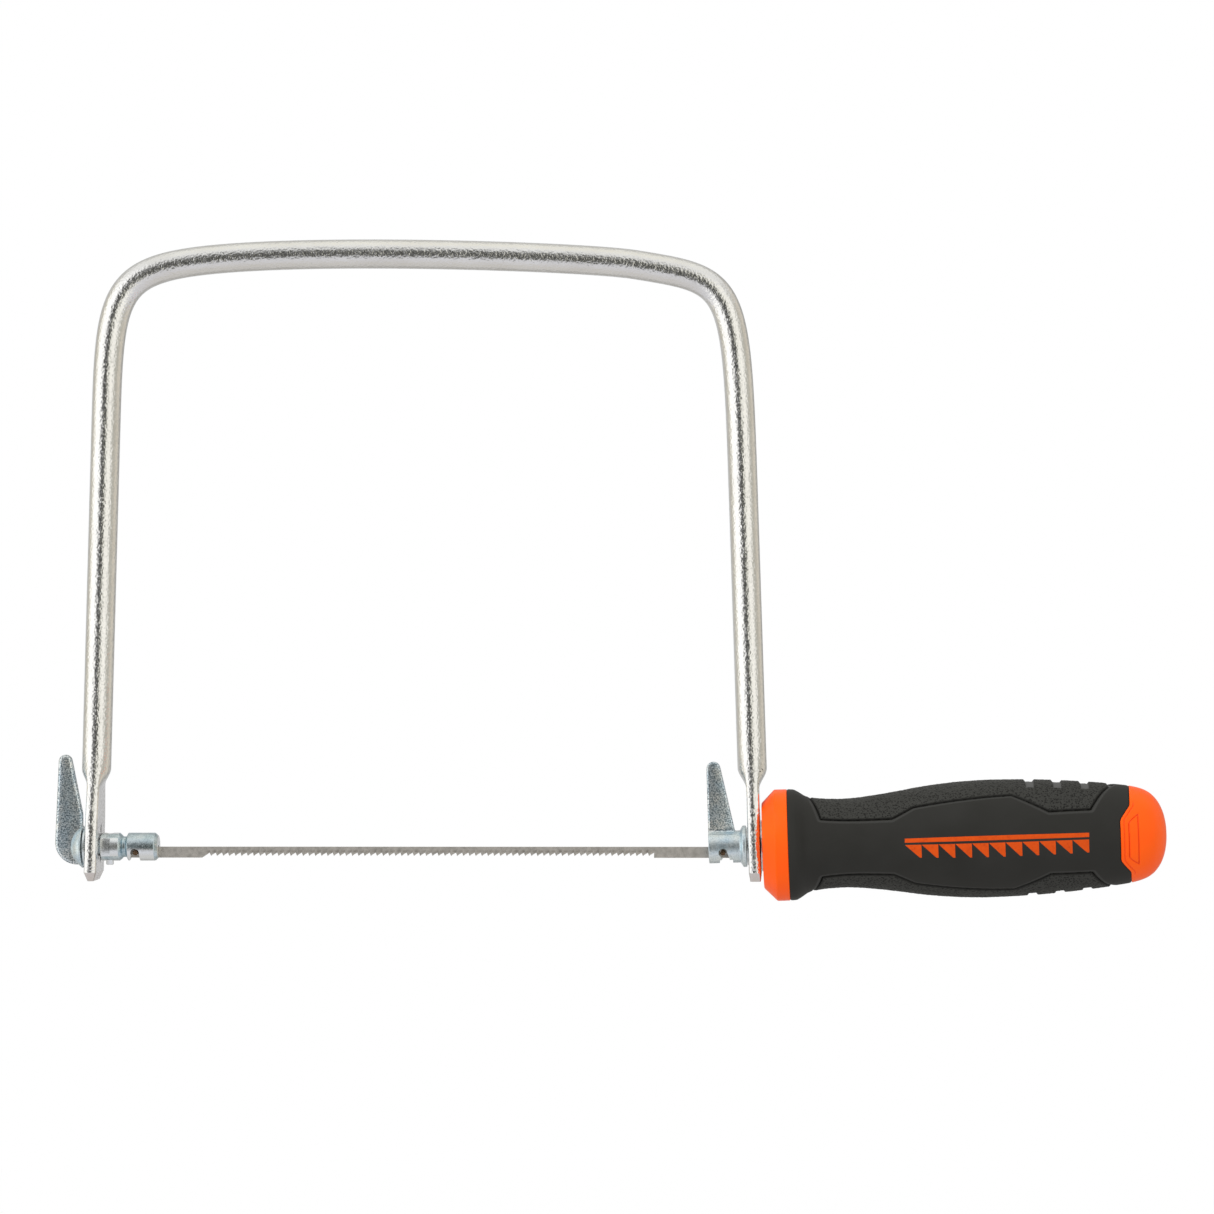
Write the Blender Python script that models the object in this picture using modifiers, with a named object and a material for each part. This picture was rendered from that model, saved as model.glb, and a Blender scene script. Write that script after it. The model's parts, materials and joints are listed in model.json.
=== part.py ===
"""Coping saw (a small bow saw): a bent rod bow, a pin-end blade and a screw handle.

The saw stands in its working plane, XZ: +X runs along the blade to the handle, +Z is
up, and the origin is the underside of the bow's top bar, where the saw hangs on a hook.
"""
import math

import bmesh
import bpy
from mathutils import Vector
from mathutils.geometry import interpolate_bezier

MM = 0.001

# Bow: one bent rod, its two ends pressed flat where the fittings pass through.
THROAT_DEPTH = 158.5 * MM
ROD_RADIUS = 4.0 * MM
LEG_END_Z = -9.2 * MM
FRONT_LEG_X = -91.9 * MM
FRONT_LEG_SPLAY = math.radians(1.72)
REAR_LEG_X = 90.05 * MM
REAR_LEG_SPLAY = math.radians(1.71)
# Each corner: the height where it leaves the leg, then the reach of its curve there and
# at the shoulder. Each shoulder: the centreline's X and Z, and the direction it runs in.
FRONT_CORNER = (113.2 * MM, 36.4 * MM, 22.5 * MM)
REAR_CORNER = (94.1 * MM, 61.3 * MM, 28.0 * MM)
TOP_REACH = (28.9 * MM, 14.0 * MM)
FRONT_SHOULDER = (-65.0 * MM, 160.9 * MM, math.radians(8.2))
REAR_SHOULDER = (57.9 * MM, 159.4 * MM, math.radians(-9.65))
FLAT_THICKNESS = 3.4 * MM
FLAT_WIDTH = 14.2 * MM
FLAT_EDGE_RADIUS = 3.0 * MM
END_CHAMFER = 2.4 * MM
END_NARROWING = 1.6 * MM
FRONT_END_THINNING = 0.85 * MM
REAR_END_THINNING = 0.3 * MM
BOW_SIDES = 24
LEG_HOLE_RADIUS = 2.8 * MM
LEG_SLOT_WIDTH = 1.4 * MM
LEG_SLOT_TOP = 6.4 * MM
LEG_SLOT_BOTTOM = -4.2 * MM

# Blade and its two cross pins.
BLADE_THICKNESS = 0.5 * MM
BLADE_WIDTH = 3.0 * MM
PIN_FRONT_X = -80.2 * MM
PIN_REAR_X = 81.4 * MM
BLADE_OVERHANG = 1.6 * MM
PIN_RADIUS = 0.75 * MM
PIN_LENGTH = 5.0 * MM
TOOTH_START_X = -59.9 * MM
TOOTH_END_X = 62.5 * MM
TOOTH_PITCH = 1.7 * MM
TOOTH_DEPTH = 0.9 * MM
TIP_HEIGHT = 0.5 * MM
HEEL_SLOPE = 2.1 * MM
SLIT_WIDTH = 1.1 * MM
SLIT_TOP = 0.35 * MM
SEAT_RADIUS = 1.2 * MM

# Front fitting: lever, washer, spigot and the pin that locks them together.
FRONT_FLANGE_X = FRONT_LEG_X - FLAT_THICKNESS / 2.0 - 1.3 * MM
FLANGE_RADIUS = 5.8 * MM
FLANGE_RIM = 0.35 * MM
DOME_RADIUS = 6.6 * MM
DOME_EDGE = 5.65 * MM
SHANK_RADIUS = 2.2 * MM
SHANK_BORE_RADIUS = 2.5 * MM
SHANK_END_X = -83.2 * MM
SPIGOT_RADIUS = 3.85 * MM
GROOVE_RADIUS = 2.85 * MM
SPIGOT_START_X = -89.9 * MM
SPIGOT_END_X = -74.1 * MM
SPIGOT_FLATS_END_X = -87.1 * MM
SPIGOT_FLATS_HALF = 3.0 * MM
SPIGOT_BORE_END_X = -82.9 * MM
LOCK_PIN_X = -87.6 * MM
LOCK_PIN_RADIUS = 1.05 * MM
LOCK_PIN_BOTTOM = -4.95 * MM
LOCK_PIN_TOP = 3.6 * MM
FIN_THICKNESS = 2.4 * MM
FIN_TIP_RADIUS = 1.9 * MM
FRONT_FIN_TIP = (-99.8 * MM, 23.45 * MM)
FRONT_FIN_HEEL = (-96.7 * MM, 1.15 * MM)
FRONT_HEEL_RADIUS = 6.05 * MM

# Rear fitting and handle share an axis that rises 1.85 degrees towards the handle and
# crosses the blade line at the rear pin. Lengths along it are counted from that point.
HANDLE_TILT = math.radians(1.85)
HOLDER_RADIUS = 4.4 * MM
HOLDER_START = -3.9 * MM
HOLDER_FACE = 6.45 * MM
HOLDER_RIM = 5.65 * MM
HOLDER_RIM_THICKNESS = 1.0 * MM
REAR_FIN_TIP = (-1.9 * MM, 21.45 * MM)
SCREW_START = 4.6 * MM
SCREW_RADIUS = 2.4 * MM
SCREW_LENGTH = 45.0 * MM
COLLAR_FACE = 10.9 * MM
COLLAR_RADIUS = 15.2 * MM
COLLAR_CHAMFER = 3.6 * MM
COLLAR_LENGTH = 7.0 * MM
HANDLE_LENGTH = 109.8 * MM
SLEEVE_END = 97.6 * MM
DOME_START = 104.0 * MM
SLEEVE_WALL = 2.6 * MM
JOINT_GAP = 0.3 * MM
NUT_RADIUS = 4.5 * MM
NUT_LENGTH = 16.0 * MM
NUT_GROOVE = (0.5 * MM, 2.0 * MM)

ROUND_STEPS = 36
MERGE = 0.00001
CUTTER_MARGIN = 10.0 * MM
STEEL = (0.62, 0.62, 0.61, 1.0)
ZINC = (0.42, 0.48, 0.52, 1.0)
BLADE_STEEL = (0.40, 0.37, 0.33, 1.0)
BRASS = (0.62, 0.46, 0.20, 1.0)
ORANGE = (1.0, 0.17, 0.03, 1.0)
BLACK = (0.04, 0.04, 0.036, 1.0)


# ---------------------------------------------------------------- scene helpers

def clear_scene():
    for item in list(bpy.data.objects):
        bpy.data.objects.remove(item, do_unlink=True)


def make_collection(name):
    collection = bpy.data.collections.new(name)
    bpy.context.scene.collection.children.link(collection)
    return collection


def make_material(name, color, roughness, metallic):
    material = bpy.data.materials.new(name)
    material.use_nodes = True
    shader = material.node_tree.nodes["Principled BSDF"]
    shader.inputs["Base Color"].default_value = color
    shader.inputs["Roughness"].default_value = roughness
    shader.inputs["Metallic"].default_value = metallic
    material.diffuse_color = color
    return material


def make_empty(name, location, tilt=0.0):
    empty = bpy.data.objects.new(name, None)
    empty.location = location
    empty.rotation_euler = (0.0, -tilt, 0.0)
    GUIDES.objects.link(empty)
    return empty


def add_part(name, mesh, parent, color, roughness, metallic):
    """Link a finished mesh as a named piece with its own material."""
    part = bpy.data.objects.new(name, mesh)
    part.parent = parent
    PIECES.objects.link(part)
    mesh.materials.clear()
    mesh.materials.append(make_material(name, color, roughness, metallic))
    mesh.shade_smooth()
    mesh.set_sharp_from_angle(angle=math.radians(30.0))
    return part


def add_cutter(name, mesh, parent):
    cutter = bpy.data.objects.new(name, mesh)
    cutter.parent = parent
    cutter.hide_render = True
    cutter.display_type = "WIRE"
    GUIDES.objects.link(cutter)
    return cutter


def combine(part, cutter, operation):
    modifier = part.modifiers.new(operation.lower() + "_" + cutter.name, "BOOLEAN")
    modifier.operation = operation
    modifier.solver = "EXACT"
    modifier.object = cutter


# ---------------------------------------------------------------- shape helpers

def turned_mesh(name, profile, closed=False, steps=ROUND_STEPS):
    """Turn a profile about the X axis: pairs of (distance along X, radius).

    The profile runs down the outer side, from its far end (+X) to its near end (-X).
    """
    mesh = bpy.data.meshes.new(name + "_profile")
    points = [(radius, 0.0, along) for along, radius in profile]
    edges = [(i, i + 1) for i in range(len(points) - 1)]
    if closed:
        edges.append((len(points) - 1, 0))
    mesh.from_pydata(points, edges, [])
    outline = bpy.data.objects.new(name + "_outline", mesh)
    bpy.context.scene.collection.objects.link(outline)
    outline.rotation_euler = (0.0, math.pi / 2.0, 0.0)
    screw = outline.modifiers.new("turn", "SCREW")
    screw.steps = steps
    screw.render_steps = steps
    screw.use_merge_vertices = True
    screw.merge_threshold = MERGE
    return take_mesh(outline, name)


def outline_mesh(name, points, thickness, holes=()):
    """A flat outline in the XZ plane with holes in it, given thickness about Y = 0.

    The curve is drawn in millimetres and scaled down, so that fine points stay apart.
    """
    curve = bpy.data.curves.new(name + "_curve", "CURVE")
    curve.dimensions = "2D"
    curve.fill_mode = "BOTH"
    curve.extrude = thickness / 2.0 / MM
    for loop in (points, *holes):
        spline = curve.splines.new("POLY")
        spline.points.add(len(loop) - 1)
        for point, (x, z) in zip(spline.points, loop):
            point.co = (x / MM, z / MM, 0.0, 1.0)
        spline.use_cyclic_u = True
    outline = bpy.data.objects.new(name + "_outline", curve)
    bpy.context.scene.collection.objects.link(outline)
    outline.rotation_euler = (math.pi / 2.0, 0.0, 0.0)
    outline.scale = (MM, MM, MM)
    return take_mesh(outline, name)


def take_mesh(source, name):
    """Turn an object with its modifiers into a plain welded mesh, and remove it."""
    bpy.context.view_layer.update()
    evaluated = source.evaluated_get(bpy.context.evaluated_depsgraph_get())
    mesh = bpy.data.meshes.new_from_object(evaluated)
    mesh.name = name
    mesh.transform(source.matrix_world)
    work = bmesh.new()
    work.from_mesh(mesh)
    bmesh.ops.remove_doubles(work, verts=work.verts, dist=MERGE)
    bmesh.ops.recalc_face_normals(work, faces=work.faces)
    work.to_mesh(mesh)
    work.free()
    bpy.data.objects.remove(source, do_unlink=True)
    return mesh


def rod_mesh(name, start, end, radius, steps=24):
    """A plain cylinder between two points."""
    mesh = bpy.data.meshes.new(name)
    work = bmesh.new()
    axis = Vector(end) - Vector(start)
    bmesh.ops.create_cone(
        work, cap_ends=True, segments=steps,
        radius1=radius, radius2=radius, depth=axis.length)
    turn = axis.to_track_quat("Z", "Y").to_matrix().to_4x4()
    bmesh.ops.transform(work, matrix=turn, verts=work.verts)
    bmesh.ops.translate(work, vec=(Vector(start) + Vector(end)) / 2.0, verts=work.verts)
    work.to_mesh(mesh)
    work.free()
    return mesh


def box_mesh(name, low, high):
    mesh = bpy.data.meshes.new(name)
    work = bmesh.new()
    bmesh.ops.create_cube(work, size=1.0)
    bmesh.ops.scale(work, vec=Vector(high) - Vector(low), verts=work.verts)
    bmesh.ops.translate(work, vec=(Vector(low) + Vector(high)) / 2.0, verts=work.verts)
    work.to_mesh(mesh)
    work.free()
    return mesh


def arc(center, radius, start_degrees, end_degrees, count):
    """Points on an arc in the XZ plane, from one angle to another."""
    points = []
    for i in range(count + 1):
        angle = math.radians(start_degrees + (end_degrees - start_degrees) * i / count)
        x = center[0] + radius * math.cos(angle)
        z = center[1] + radius * math.sin(angle)
        points.append((x, z))
    return points


# ---------------------------------------------------------------- bow

def front_leg_x(z):
    return FRONT_LEG_X + z * math.tan(FRONT_LEG_SPLAY)


def rear_leg_x(z):
    return REAR_LEG_X - z * math.tan(REAR_LEG_SPLAY)


def bezier_stretch(start, end, count):
    """Points and unit tangents along one Bezier stretch of the bow.

    Each end is (point, direction angle, handle length).
    """
    (p0, angle0, reach0), (p1, angle1, reach1) = start, end
    knot0 = Vector((p0[0], 0.0, p0[1]))
    knot1 = Vector((p1[0], 0.0, p1[1]))
    handle0 = knot0 + reach0 * Vector((math.cos(angle0), 0.0, math.sin(angle0)))
    handle1 = knot1 - reach1 * Vector((math.cos(angle1), 0.0, math.sin(angle1)))
    return interpolate_bezier(knot0, handle0, handle1, knot1, count)


def bow_top_points():
    """Centreline from the top of the front leg, over the top bar, to the rear leg."""
    rising = math.pi / 2.0 - FRONT_LEG_SPLAY
    falling = -math.pi / 2.0 + REAR_LEG_SPLAY
    front_start, front_reach, front_landing = FRONT_CORNER
    rear_start, rear_reach, rear_landing = REAR_CORNER
    front_top = (front_leg_x(front_start), front_start)
    rear_top = (rear_leg_x(rear_start), rear_start)
    shoulder_a, angle_a = FRONT_SHOULDER[:2], FRONT_SHOULDER[2]
    shoulder_b, angle_b = REAR_SHOULDER[:2], REAR_SHOULDER[2]
    front = bezier_stretch(
        (front_top, rising, front_reach), (shoulder_a, angle_a, front_landing), 18)
    middle = bezier_stretch(
        (shoulder_a, angle_a, TOP_REACH[0]), (shoulder_b, angle_b, TOP_REACH[1]), 15)
    rear = bezier_stretch(
        (shoulder_b, angle_b, rear_landing), (rear_top, falling, rear_reach), 20)
    return front + middle[1:] + rear[1:]


def round_section():
    """The rod's section as (inward or outward offset, offset along Y)."""
    points = []
    for i in range(BOW_SIDES):
        angle = 2.0 * math.pi * i / BOW_SIDES
        points.append((ROD_RADIUS * math.cos(angle), ROD_RADIUS * math.sin(angle)))
    return points


def pressed_section():
    """A flat bar with crowned edges, in the same order as round_section."""
    half_thick = FLAT_THICKNESS / 2.0
    crown = FLAT_EDGE_RADIUS - math.sqrt(FLAT_EDGE_RADIUS ** 2 - half_thick ** 2)
    half_flat = FLAT_WIDTH / 2.0 - crown
    half_angle = math.asin(half_thick / FLAT_EDGE_RADIUS)
    side = BOW_SIDES // 3
    edge_steps = BOW_SIDES // 2 - side
    points = []
    for i in range(BOW_SIDES):
        step = (i + side // 2) % BOW_SIDES
        mirrored = 1.0 if step < BOW_SIDES // 2 else -1.0
        step = step % (BOW_SIDES // 2)
        if step <= side:
            offset = (half_thick, -half_flat + 2.0 * half_flat * step / side)
        else:
            angle = half_angle * (1.0 - 2.0 * (step - side) / edge_steps)
            rise = FLAT_EDGE_RADIUS * math.cos(angle) - FLAT_EDGE_RADIUS + crown
            offset = (FLAT_EDGE_RADIUS * math.sin(angle), half_flat + rise)
        points.append((mirrored * offset[0], mirrored * offset[1]))
    return points


def blended_section(thinned, widened):
    """The round section pressed part of the way, by its own share in X and in Y."""
    pairs = zip(round_section(), pressed_section())
    return [(u0 + (u1 - u0) * thinned, v0 + (v1 - v0) * widened)
            for (u0, v0), (u1, v1) in pairs]


def end_section(thinning):
    """The pressed section drawn in at the leg's end: less of it in X and in Y."""
    shrink_u = (FLAT_THICKNESS - 2.0 * thinning) / FLAT_THICKNESS
    shrink_v = (FLAT_WIDTH - 2.0 * END_NARROWING) / FLAT_WIDTH
    return [(u * shrink_u, v * shrink_v) for u, v in pressed_section()]


def leg_rings(leg_x, thinning, outward):
    """Rings from the leg's bottom end up to where the corner starts.

    The dies pinch the rod over 5 mm, and it spreads sideways over a longer stretch.
    """
    ring_list = [
        (LEG_END_Z, end_section(thinning)),
        (LEG_END_Z + END_CHAMFER, pressed_section()),
        (0.0, pressed_section()),
        (5.0 * MM, pressed_section()),
        (11.0 * MM, blended_section(1.0, 0.84)),
        (16.0 * MM, blended_section(1.0, 0.56)),
        (21.0 * MM, blended_section(0.0, 0.26)),
        (25.0 * MM, blended_section(0.0, 0.07)),
        (29.0 * MM, round_section()),
        (50.0 * MM, round_section()),
        (85.0 * MM, round_section()),
    ]
    rings = []
    for z, section in ring_list:
        center = Vector((leg_x(z), 0.0, z))
        rings.append([center + Vector((u * outward, v, 0.0)) for u, v in section])
    return rings


def bow_rings():
    front = leg_rings(front_leg_x, FRONT_END_THINNING, -1.0)
    rear = leg_rings(rear_leg_x, REAR_END_THINNING, 1.0)
    path = bow_top_points()
    top = []
    for i, point in enumerate(path):
        tangent = (path[min(i + 1, len(path) - 1)] - path[max(i - 1, 0)]).normalized()
        outward = Vector((-tangent.z, 0.0, tangent.x))
        top.append([point + outward * u + Vector((0.0, v, 0.0)) for u, v in round_section()])
    return front + top + list(reversed(rear))


def bow_mesh():
    """Loft the rings, from the front leg's end to the rear leg's end."""
    mesh = bpy.data.meshes.new("bow_frame")
    work = bmesh.new()
    rings = [[work.verts.new(point) for point in ring] for ring in bow_rings()]
    for ring, following in zip(rings, rings[1:]):
        for i in range(BOW_SIDES):
            j = (i + 1) % BOW_SIDES
            work.faces.new((ring[i], ring[j], following[j], following[i]))
    work.faces.new(rings[0])
    work.faces.new(rings[-1])
    bmesh.ops.recalc_face_normals(work, faces=work.faces)
    work.to_mesh(mesh)
    work.free()
    return mesh


def make_bow():
    bow = add_part("bow_frame", bow_mesh(), BLADE_AXIS, STEEL, 0.25, 1.0)
    reach = 6.0 * MM
    front_hole = rod_mesh(
        "front_leg_hole_cutter", (FRONT_LEG_X - reach, 0.0, 0.0),
        (FRONT_LEG_X + reach, 0.0, 0.0), LEG_HOLE_RADIUS)
    combine(bow, add_cutter("front_leg_hole_cutter", front_hole, BLADE_AXIS), "DIFFERENCE")
    slot_half = LEG_SLOT_WIDTH / 2.0
    slot = box_mesh(
        "front_leg_slot_cutter", (FRONT_LEG_X - reach, -slot_half, LEG_SLOT_BOTTOM),
        (FRONT_LEG_X + reach, slot_half, LEG_SLOT_TOP))
    combine(bow, add_cutter("front_leg_slot_cutter", slot, BLADE_AXIS), "DIFFERENCE")
    leg = rear_leg_x(0.0) - PIN_REAR_X
    rear_hole = rod_mesh(
        "rear_leg_hole_cutter", (leg - reach, 0.0, 0.0), (leg + reach, 0.0, 0.0),
        LEG_HOLE_RADIUS)
    combine(bow, add_cutter("rear_leg_hole_cutter", rear_hole, HANDLE_AXIS), "DIFFERENCE")


# ---------------------------------------------------------------- front fitting

def make_front_lever():
    """Die-cast lever: a domed flange, the shank behind it and a tapering fin."""
    rim = FRONT_FLANGE_X - FLANGE_RIM
    half_angle = math.asin(DOME_EDGE / DOME_RADIUS)
    profile = [(SHANK_END_X, 0.0), (SHANK_END_X, SHANK_RADIUS)]
    profile += [(FRONT_FLANGE_X, SHANK_RADIUS), (FRONT_FLANGE_X, FLANGE_RADIUS)]
    profile.append((rim, FLANGE_RADIUS))
    for i in range(7):
        angle = half_angle * (1.0 - i / 6.0)
        along = rim + DOME_RADIUS * (math.cos(half_angle) - math.cos(angle))
        profile.append((along, DOME_RADIUS * math.sin(angle)))
    lever = add_part("front_lever", turned_mesh("front_lever", profile),
                     BLADE_AXIS, ZINC, 0.5, 1.0)
    outline = arc(FRONT_FIN_TIP, FIN_TIP_RADIUS, 12.0, 178.0, 8)
    outline += arc(FRONT_FIN_HEEL, FRONT_HEEL_RADIUS, 179.0, 270.0, 10)
    foot = FRONT_FLANGE_X - 0.1 * MM
    outline += [(foot, FRONT_FIN_HEEL[1] - FRONT_HEEL_RADIUS), (foot, 9.0 * MM)]
    fin = add_cutter("front_fin", outline_mesh("front_fin", outline, FIN_THICKNESS), BLADE_AXIS)
    combine(lever, fin, "UNION")
    combine(lever, lock_pin_hole("lever_pin_hole_cutter", -5.0 * MM), "DIFFERENCE")


def lock_pin_hole(name, bottom):
    radius = LOCK_PIN_RADIUS + 0.25 * MM
    mesh = rod_mesh(name, (LOCK_PIN_X, 0.0, bottom), (LOCK_PIN_X, 0.0, 6.0 * MM), radius)
    return add_cutter(name, mesh, BLADE_AXIS)


def make_washer(name, parent, start, thickness, outer, inner):
    end = start + thickness
    profile = [(end, outer), (start, outer), (start, inner), (end, inner)]
    mesh = turned_mesh(name, profile, closed=True)
    add_part(name, mesh, parent, STEEL, 0.35, 1.0)


def make_front_spigot():
    """Steel spigot: milled flats, a collar, a groove and the slotted barrel."""
    r, groove = SPIGOT_RADIUS, GROOVE_RADIUS
    x0, x1 = SPIGOT_START_X, SPIGOT_END_X
    profile = [(x1, 0.0), (x1, r - 0.9 * MM), (x1 - 0.9 * MM, r), (-82.3 * MM, r)]
    profile += [(-82.9 * MM, groove), (-83.8 * MM, groove), (-84.5 * MM, r - 0.3 * MM)]
    profile += [(-84.9 * MM, r), (x0 + 0.3 * MM, r), (x0, r - 0.3 * MM), (x0, 0.0)]
    spigot = add_part("front_spigot", turned_mesh("front_spigot", profile),
                      BLADE_AXIS, ZINC, 0.4, 1.0)
    for side in (-1.0, 1.0):
        near, far = sorted((side * SPIGOT_FLATS_HALF, side * (SPIGOT_FLATS_HALF + CUTTER_MARGIN)))
        name = "spigot_flat_cutter_" + ("front" if side < 0.0 else "back")
        flat = box_mesh(name, (x0 - CUTTER_MARGIN, near, -CUTTER_MARGIN),
                        (SPIGOT_FLATS_END_X, far, CUTTER_MARGIN))
        combine(spigot, add_cutter(name, flat, BLADE_AXIS), "DIFFERENCE")
    bore = rod_mesh("spigot_bore_cutter", (x0 - CUTTER_MARGIN, 0.0, 0.0),
                    (SPIGOT_BORE_END_X, 0.0, 0.0), SHANK_BORE_RADIUS)
    combine(spigot, add_cutter("spigot_bore_cutter", bore, BLADE_AXIS), "DIFFERENCE")
    combine(spigot, lock_pin_hole("spigot_pin_hole_cutter", -7.0 * MM), "DIFFERENCE")
    half = SLIT_WIDTH / 2.0
    slit = box_mesh("spigot_slit_cutter", (PIN_FRONT_X - 2.0 * MM, -half, -CUTTER_MARGIN),
                    (x1 + CUTTER_MARGIN, half, SLIT_TOP))
    combine(spigot, add_cutter("spigot_slit_cutter", slit, BLADE_AXIS), "DIFFERENCE")
    seat = (PIN_FRONT_X, -1.6 * MM)
    opening = -6.0 * MM
    notch = arc(seat, SEAT_RADIUS, 0.0, 205.0, 12)
    notch += [(seat[0] - 1.9 * MM, -3.5 * MM), (seat[0] - 1.9 * MM, opening)]
    notch += [(seat[0] + SEAT_RADIUS, opening)]
    mesh = outline_mesh("spigot_notch_cutter", notch, 2.0 * CUTTER_MARGIN)
    combine(spigot, add_cutter("spigot_notch_cutter", mesh, BLADE_AXIS), "DIFFERENCE")


def make_lock_pin():
    mesh = rod_mesh("front_cross_pin", (LOCK_PIN_X, 0.0, LOCK_PIN_BOTTOM),
                    (LOCK_PIN_X, 0.0, LOCK_PIN_TOP), LOCK_PIN_RADIUS)
    add_part("front_cross_pin", mesh, BLADE_AXIS, STEEL, 0.35, 1.0)


# ---------------------------------------------------------------- blade

def blade_outline():
    """The blade from the side, clockwise from the front of its back edge."""
    bottom = -BLADE_WIDTH
    tip = bottom + TIP_HEIGHT
    root = tip + TOOTH_DEPTH
    left = PIN_FRONT_X - BLADE_OVERHANG
    right = PIN_REAR_X + BLADE_OVERHANG
    points = [(left, 0.0), (right, 0.0), (right, bottom), (TOOTH_END_X, bottom)]
    count = int((TOOTH_END_X - TOOTH_START_X) / TOOTH_PITCH)
    for i in range(count):
        x = TOOTH_END_X - i * TOOTH_PITCH
        points.append((x, root))
        points.append((x - 0.8 * TOOTH_PITCH, tip))
    points.append((TOOTH_START_X, root))
    points.append((TOOTH_START_X - HEEL_SLOPE, bottom))
    points.append((left, bottom))
    return points


def make_blade():
    middle = -BLADE_WIDTH / 2.0
    half = PIN_LENGTH / 2.0
    holes = []
    for name, x in (("blade_pin_front", PIN_FRONT_X), ("blade_pin_rear", PIN_REAR_X)):
        holes.append(arc((x, middle), PIN_RADIUS + 0.15 * MM, 0.0, 345.0, 23))
        pin = rod_mesh(name, (x, -half, middle), (x, half, middle), PIN_RADIUS)
        add_part(name, pin, BLADE_AXIS, BRASS, 0.4, 1.0)
    mesh = outline_mesh("blade", blade_outline(), BLADE_THICKNESS, holes)
    add_part("blade", mesh, BLADE_AXIS, BLADE_STEEL, 0.45, 1.0)


# ---------------------------------------------------------------- rear fitting

def make_rear_holder():
    """Die-cast blade holder: slotted barrel, flange against the leg, lever fin on top."""
    r, rim = HOLDER_RADIUS, HOLDER_RIM
    near = HOLDER_START
    flange = HOLDER_FACE - HOLDER_RIM_THICKNESS
    profile = [(HOLDER_FACE, 0.0), (HOLDER_FACE, rim), (flange, rim), (flange - 0.7 * MM, r)]
    profile += [(near + 0.2 * MM, r), (near, r - 0.2 * MM), (near, 0.0)]
    holder = add_part("rear_holder", turned_mesh("rear_holder", profile),
                      HANDLE_AXIS, ZINC, 0.5, 1.0)
    outline = arc(REAR_FIN_TIP, FIN_TIP_RADIUS, 12.0, 180.0, 8)
    outline += [(near, 2.0 * MM), (3.85 * MM, 2.0 * MM)]
    fin = add_cutter("rear_fin", outline_mesh("rear_fin", outline, FIN_THICKNESS), HANDLE_AXIS)
    combine(holder, fin, "UNION")
    half = SLIT_WIDTH / 2.0
    slit = box_mesh("holder_slit_cutter", (near - CUTTER_MARGIN, -half, -CUTTER_MARGIN),
                    (BLADE_OVERHANG + 2.1 * MM, half, SLIT_TOP))
    combine(holder, add_cutter("holder_slit_cutter", slit, HANDLE_AXIS), "DIFFERENCE")
    pocket_half = PIN_LENGTH / 2.0 + 0.2 * MM
    pocket = box_mesh("holder_pocket_cutter", (-1.05 * MM, -pocket_half, -CUTTER_MARGIN),
                      (2.65 * MM, pocket_half, -0.45 * MM))
    combine(holder, add_cutter("holder_pocket_cutter", pocket, HANDLE_AXIS), "DIFFERENCE")
    seat = (0.0, -1.45 * MM)
    hook = -0.35 * MM
    opening = -6.0 * MM
    notch = arc(seat, SEAT_RADIUS, 0.0, 200.0, 12)
    notch += [(hook, -2.9 * MM), (hook, opening), (2.6 * MM, opening)]
    mesh = outline_mesh("holder_notch_cutter", notch, 2.0 * CUTTER_MARGIN)
    combine(holder, add_cutter("holder_notch_cutter", mesh, HANDLE_AXIS), "DIFFERENCE")
    bore = rod_mesh("holder_bore_cutter", (SCREW_START - JOINT_GAP, 0.0, 0.0),
                    (HOLDER_FACE + CUTTER_MARGIN, 0.0, 0.0), SCREW_RADIUS + JOINT_GAP)
    combine(holder, add_cutter("holder_bore_cutter", bore, HANDLE_AXIS), "DIFFERENCE")


def make_tension_screw():
    start, end = SCREW_START, SCREW_START + SCREW_LENGTH
    chamfer = 0.6 * MM
    profile = [(end, 0.0), (end, SCREW_RADIUS - chamfer), (end - chamfer, SCREW_RADIUS)]
    profile += [(start, SCREW_RADIUS), (start, 0.0)]
    mesh = turned_mesh("tension_screw", profile, steps=24)
    add_part("tension_screw", mesh, HANDLE_AXIS, STEEL, 0.35, 1.0)


# ---------------------------------------------------------------- handle

def grip_radius(s):
    """Outer radius of the grip, s being the distance behind the collar's face."""
    knots = [(7.0, 15.2), (10.3, 13.9), (14.0, 12.6), (21.5, 12.05), (29.0, 12.6),
             (42.0, 14.5), (61.6, 16.0), (76.8, 15.5), (89.6, 14.5), (98.5, 13.3),
             (104.0, 11.8)]
    s = s / MM
    for (s0, r0), (s1, r1) in zip(knots, knots[1:]):
        if s <= s1:
            blend = (s - s0) / (s1 - s0)
            return (r0 + (r1 - r0) * blend) * MM
    return knots[-1][1] * MM


def grip_stations(start, end, count):
    return [start + (end - start) * i / count for i in range(count + 1)]


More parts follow.
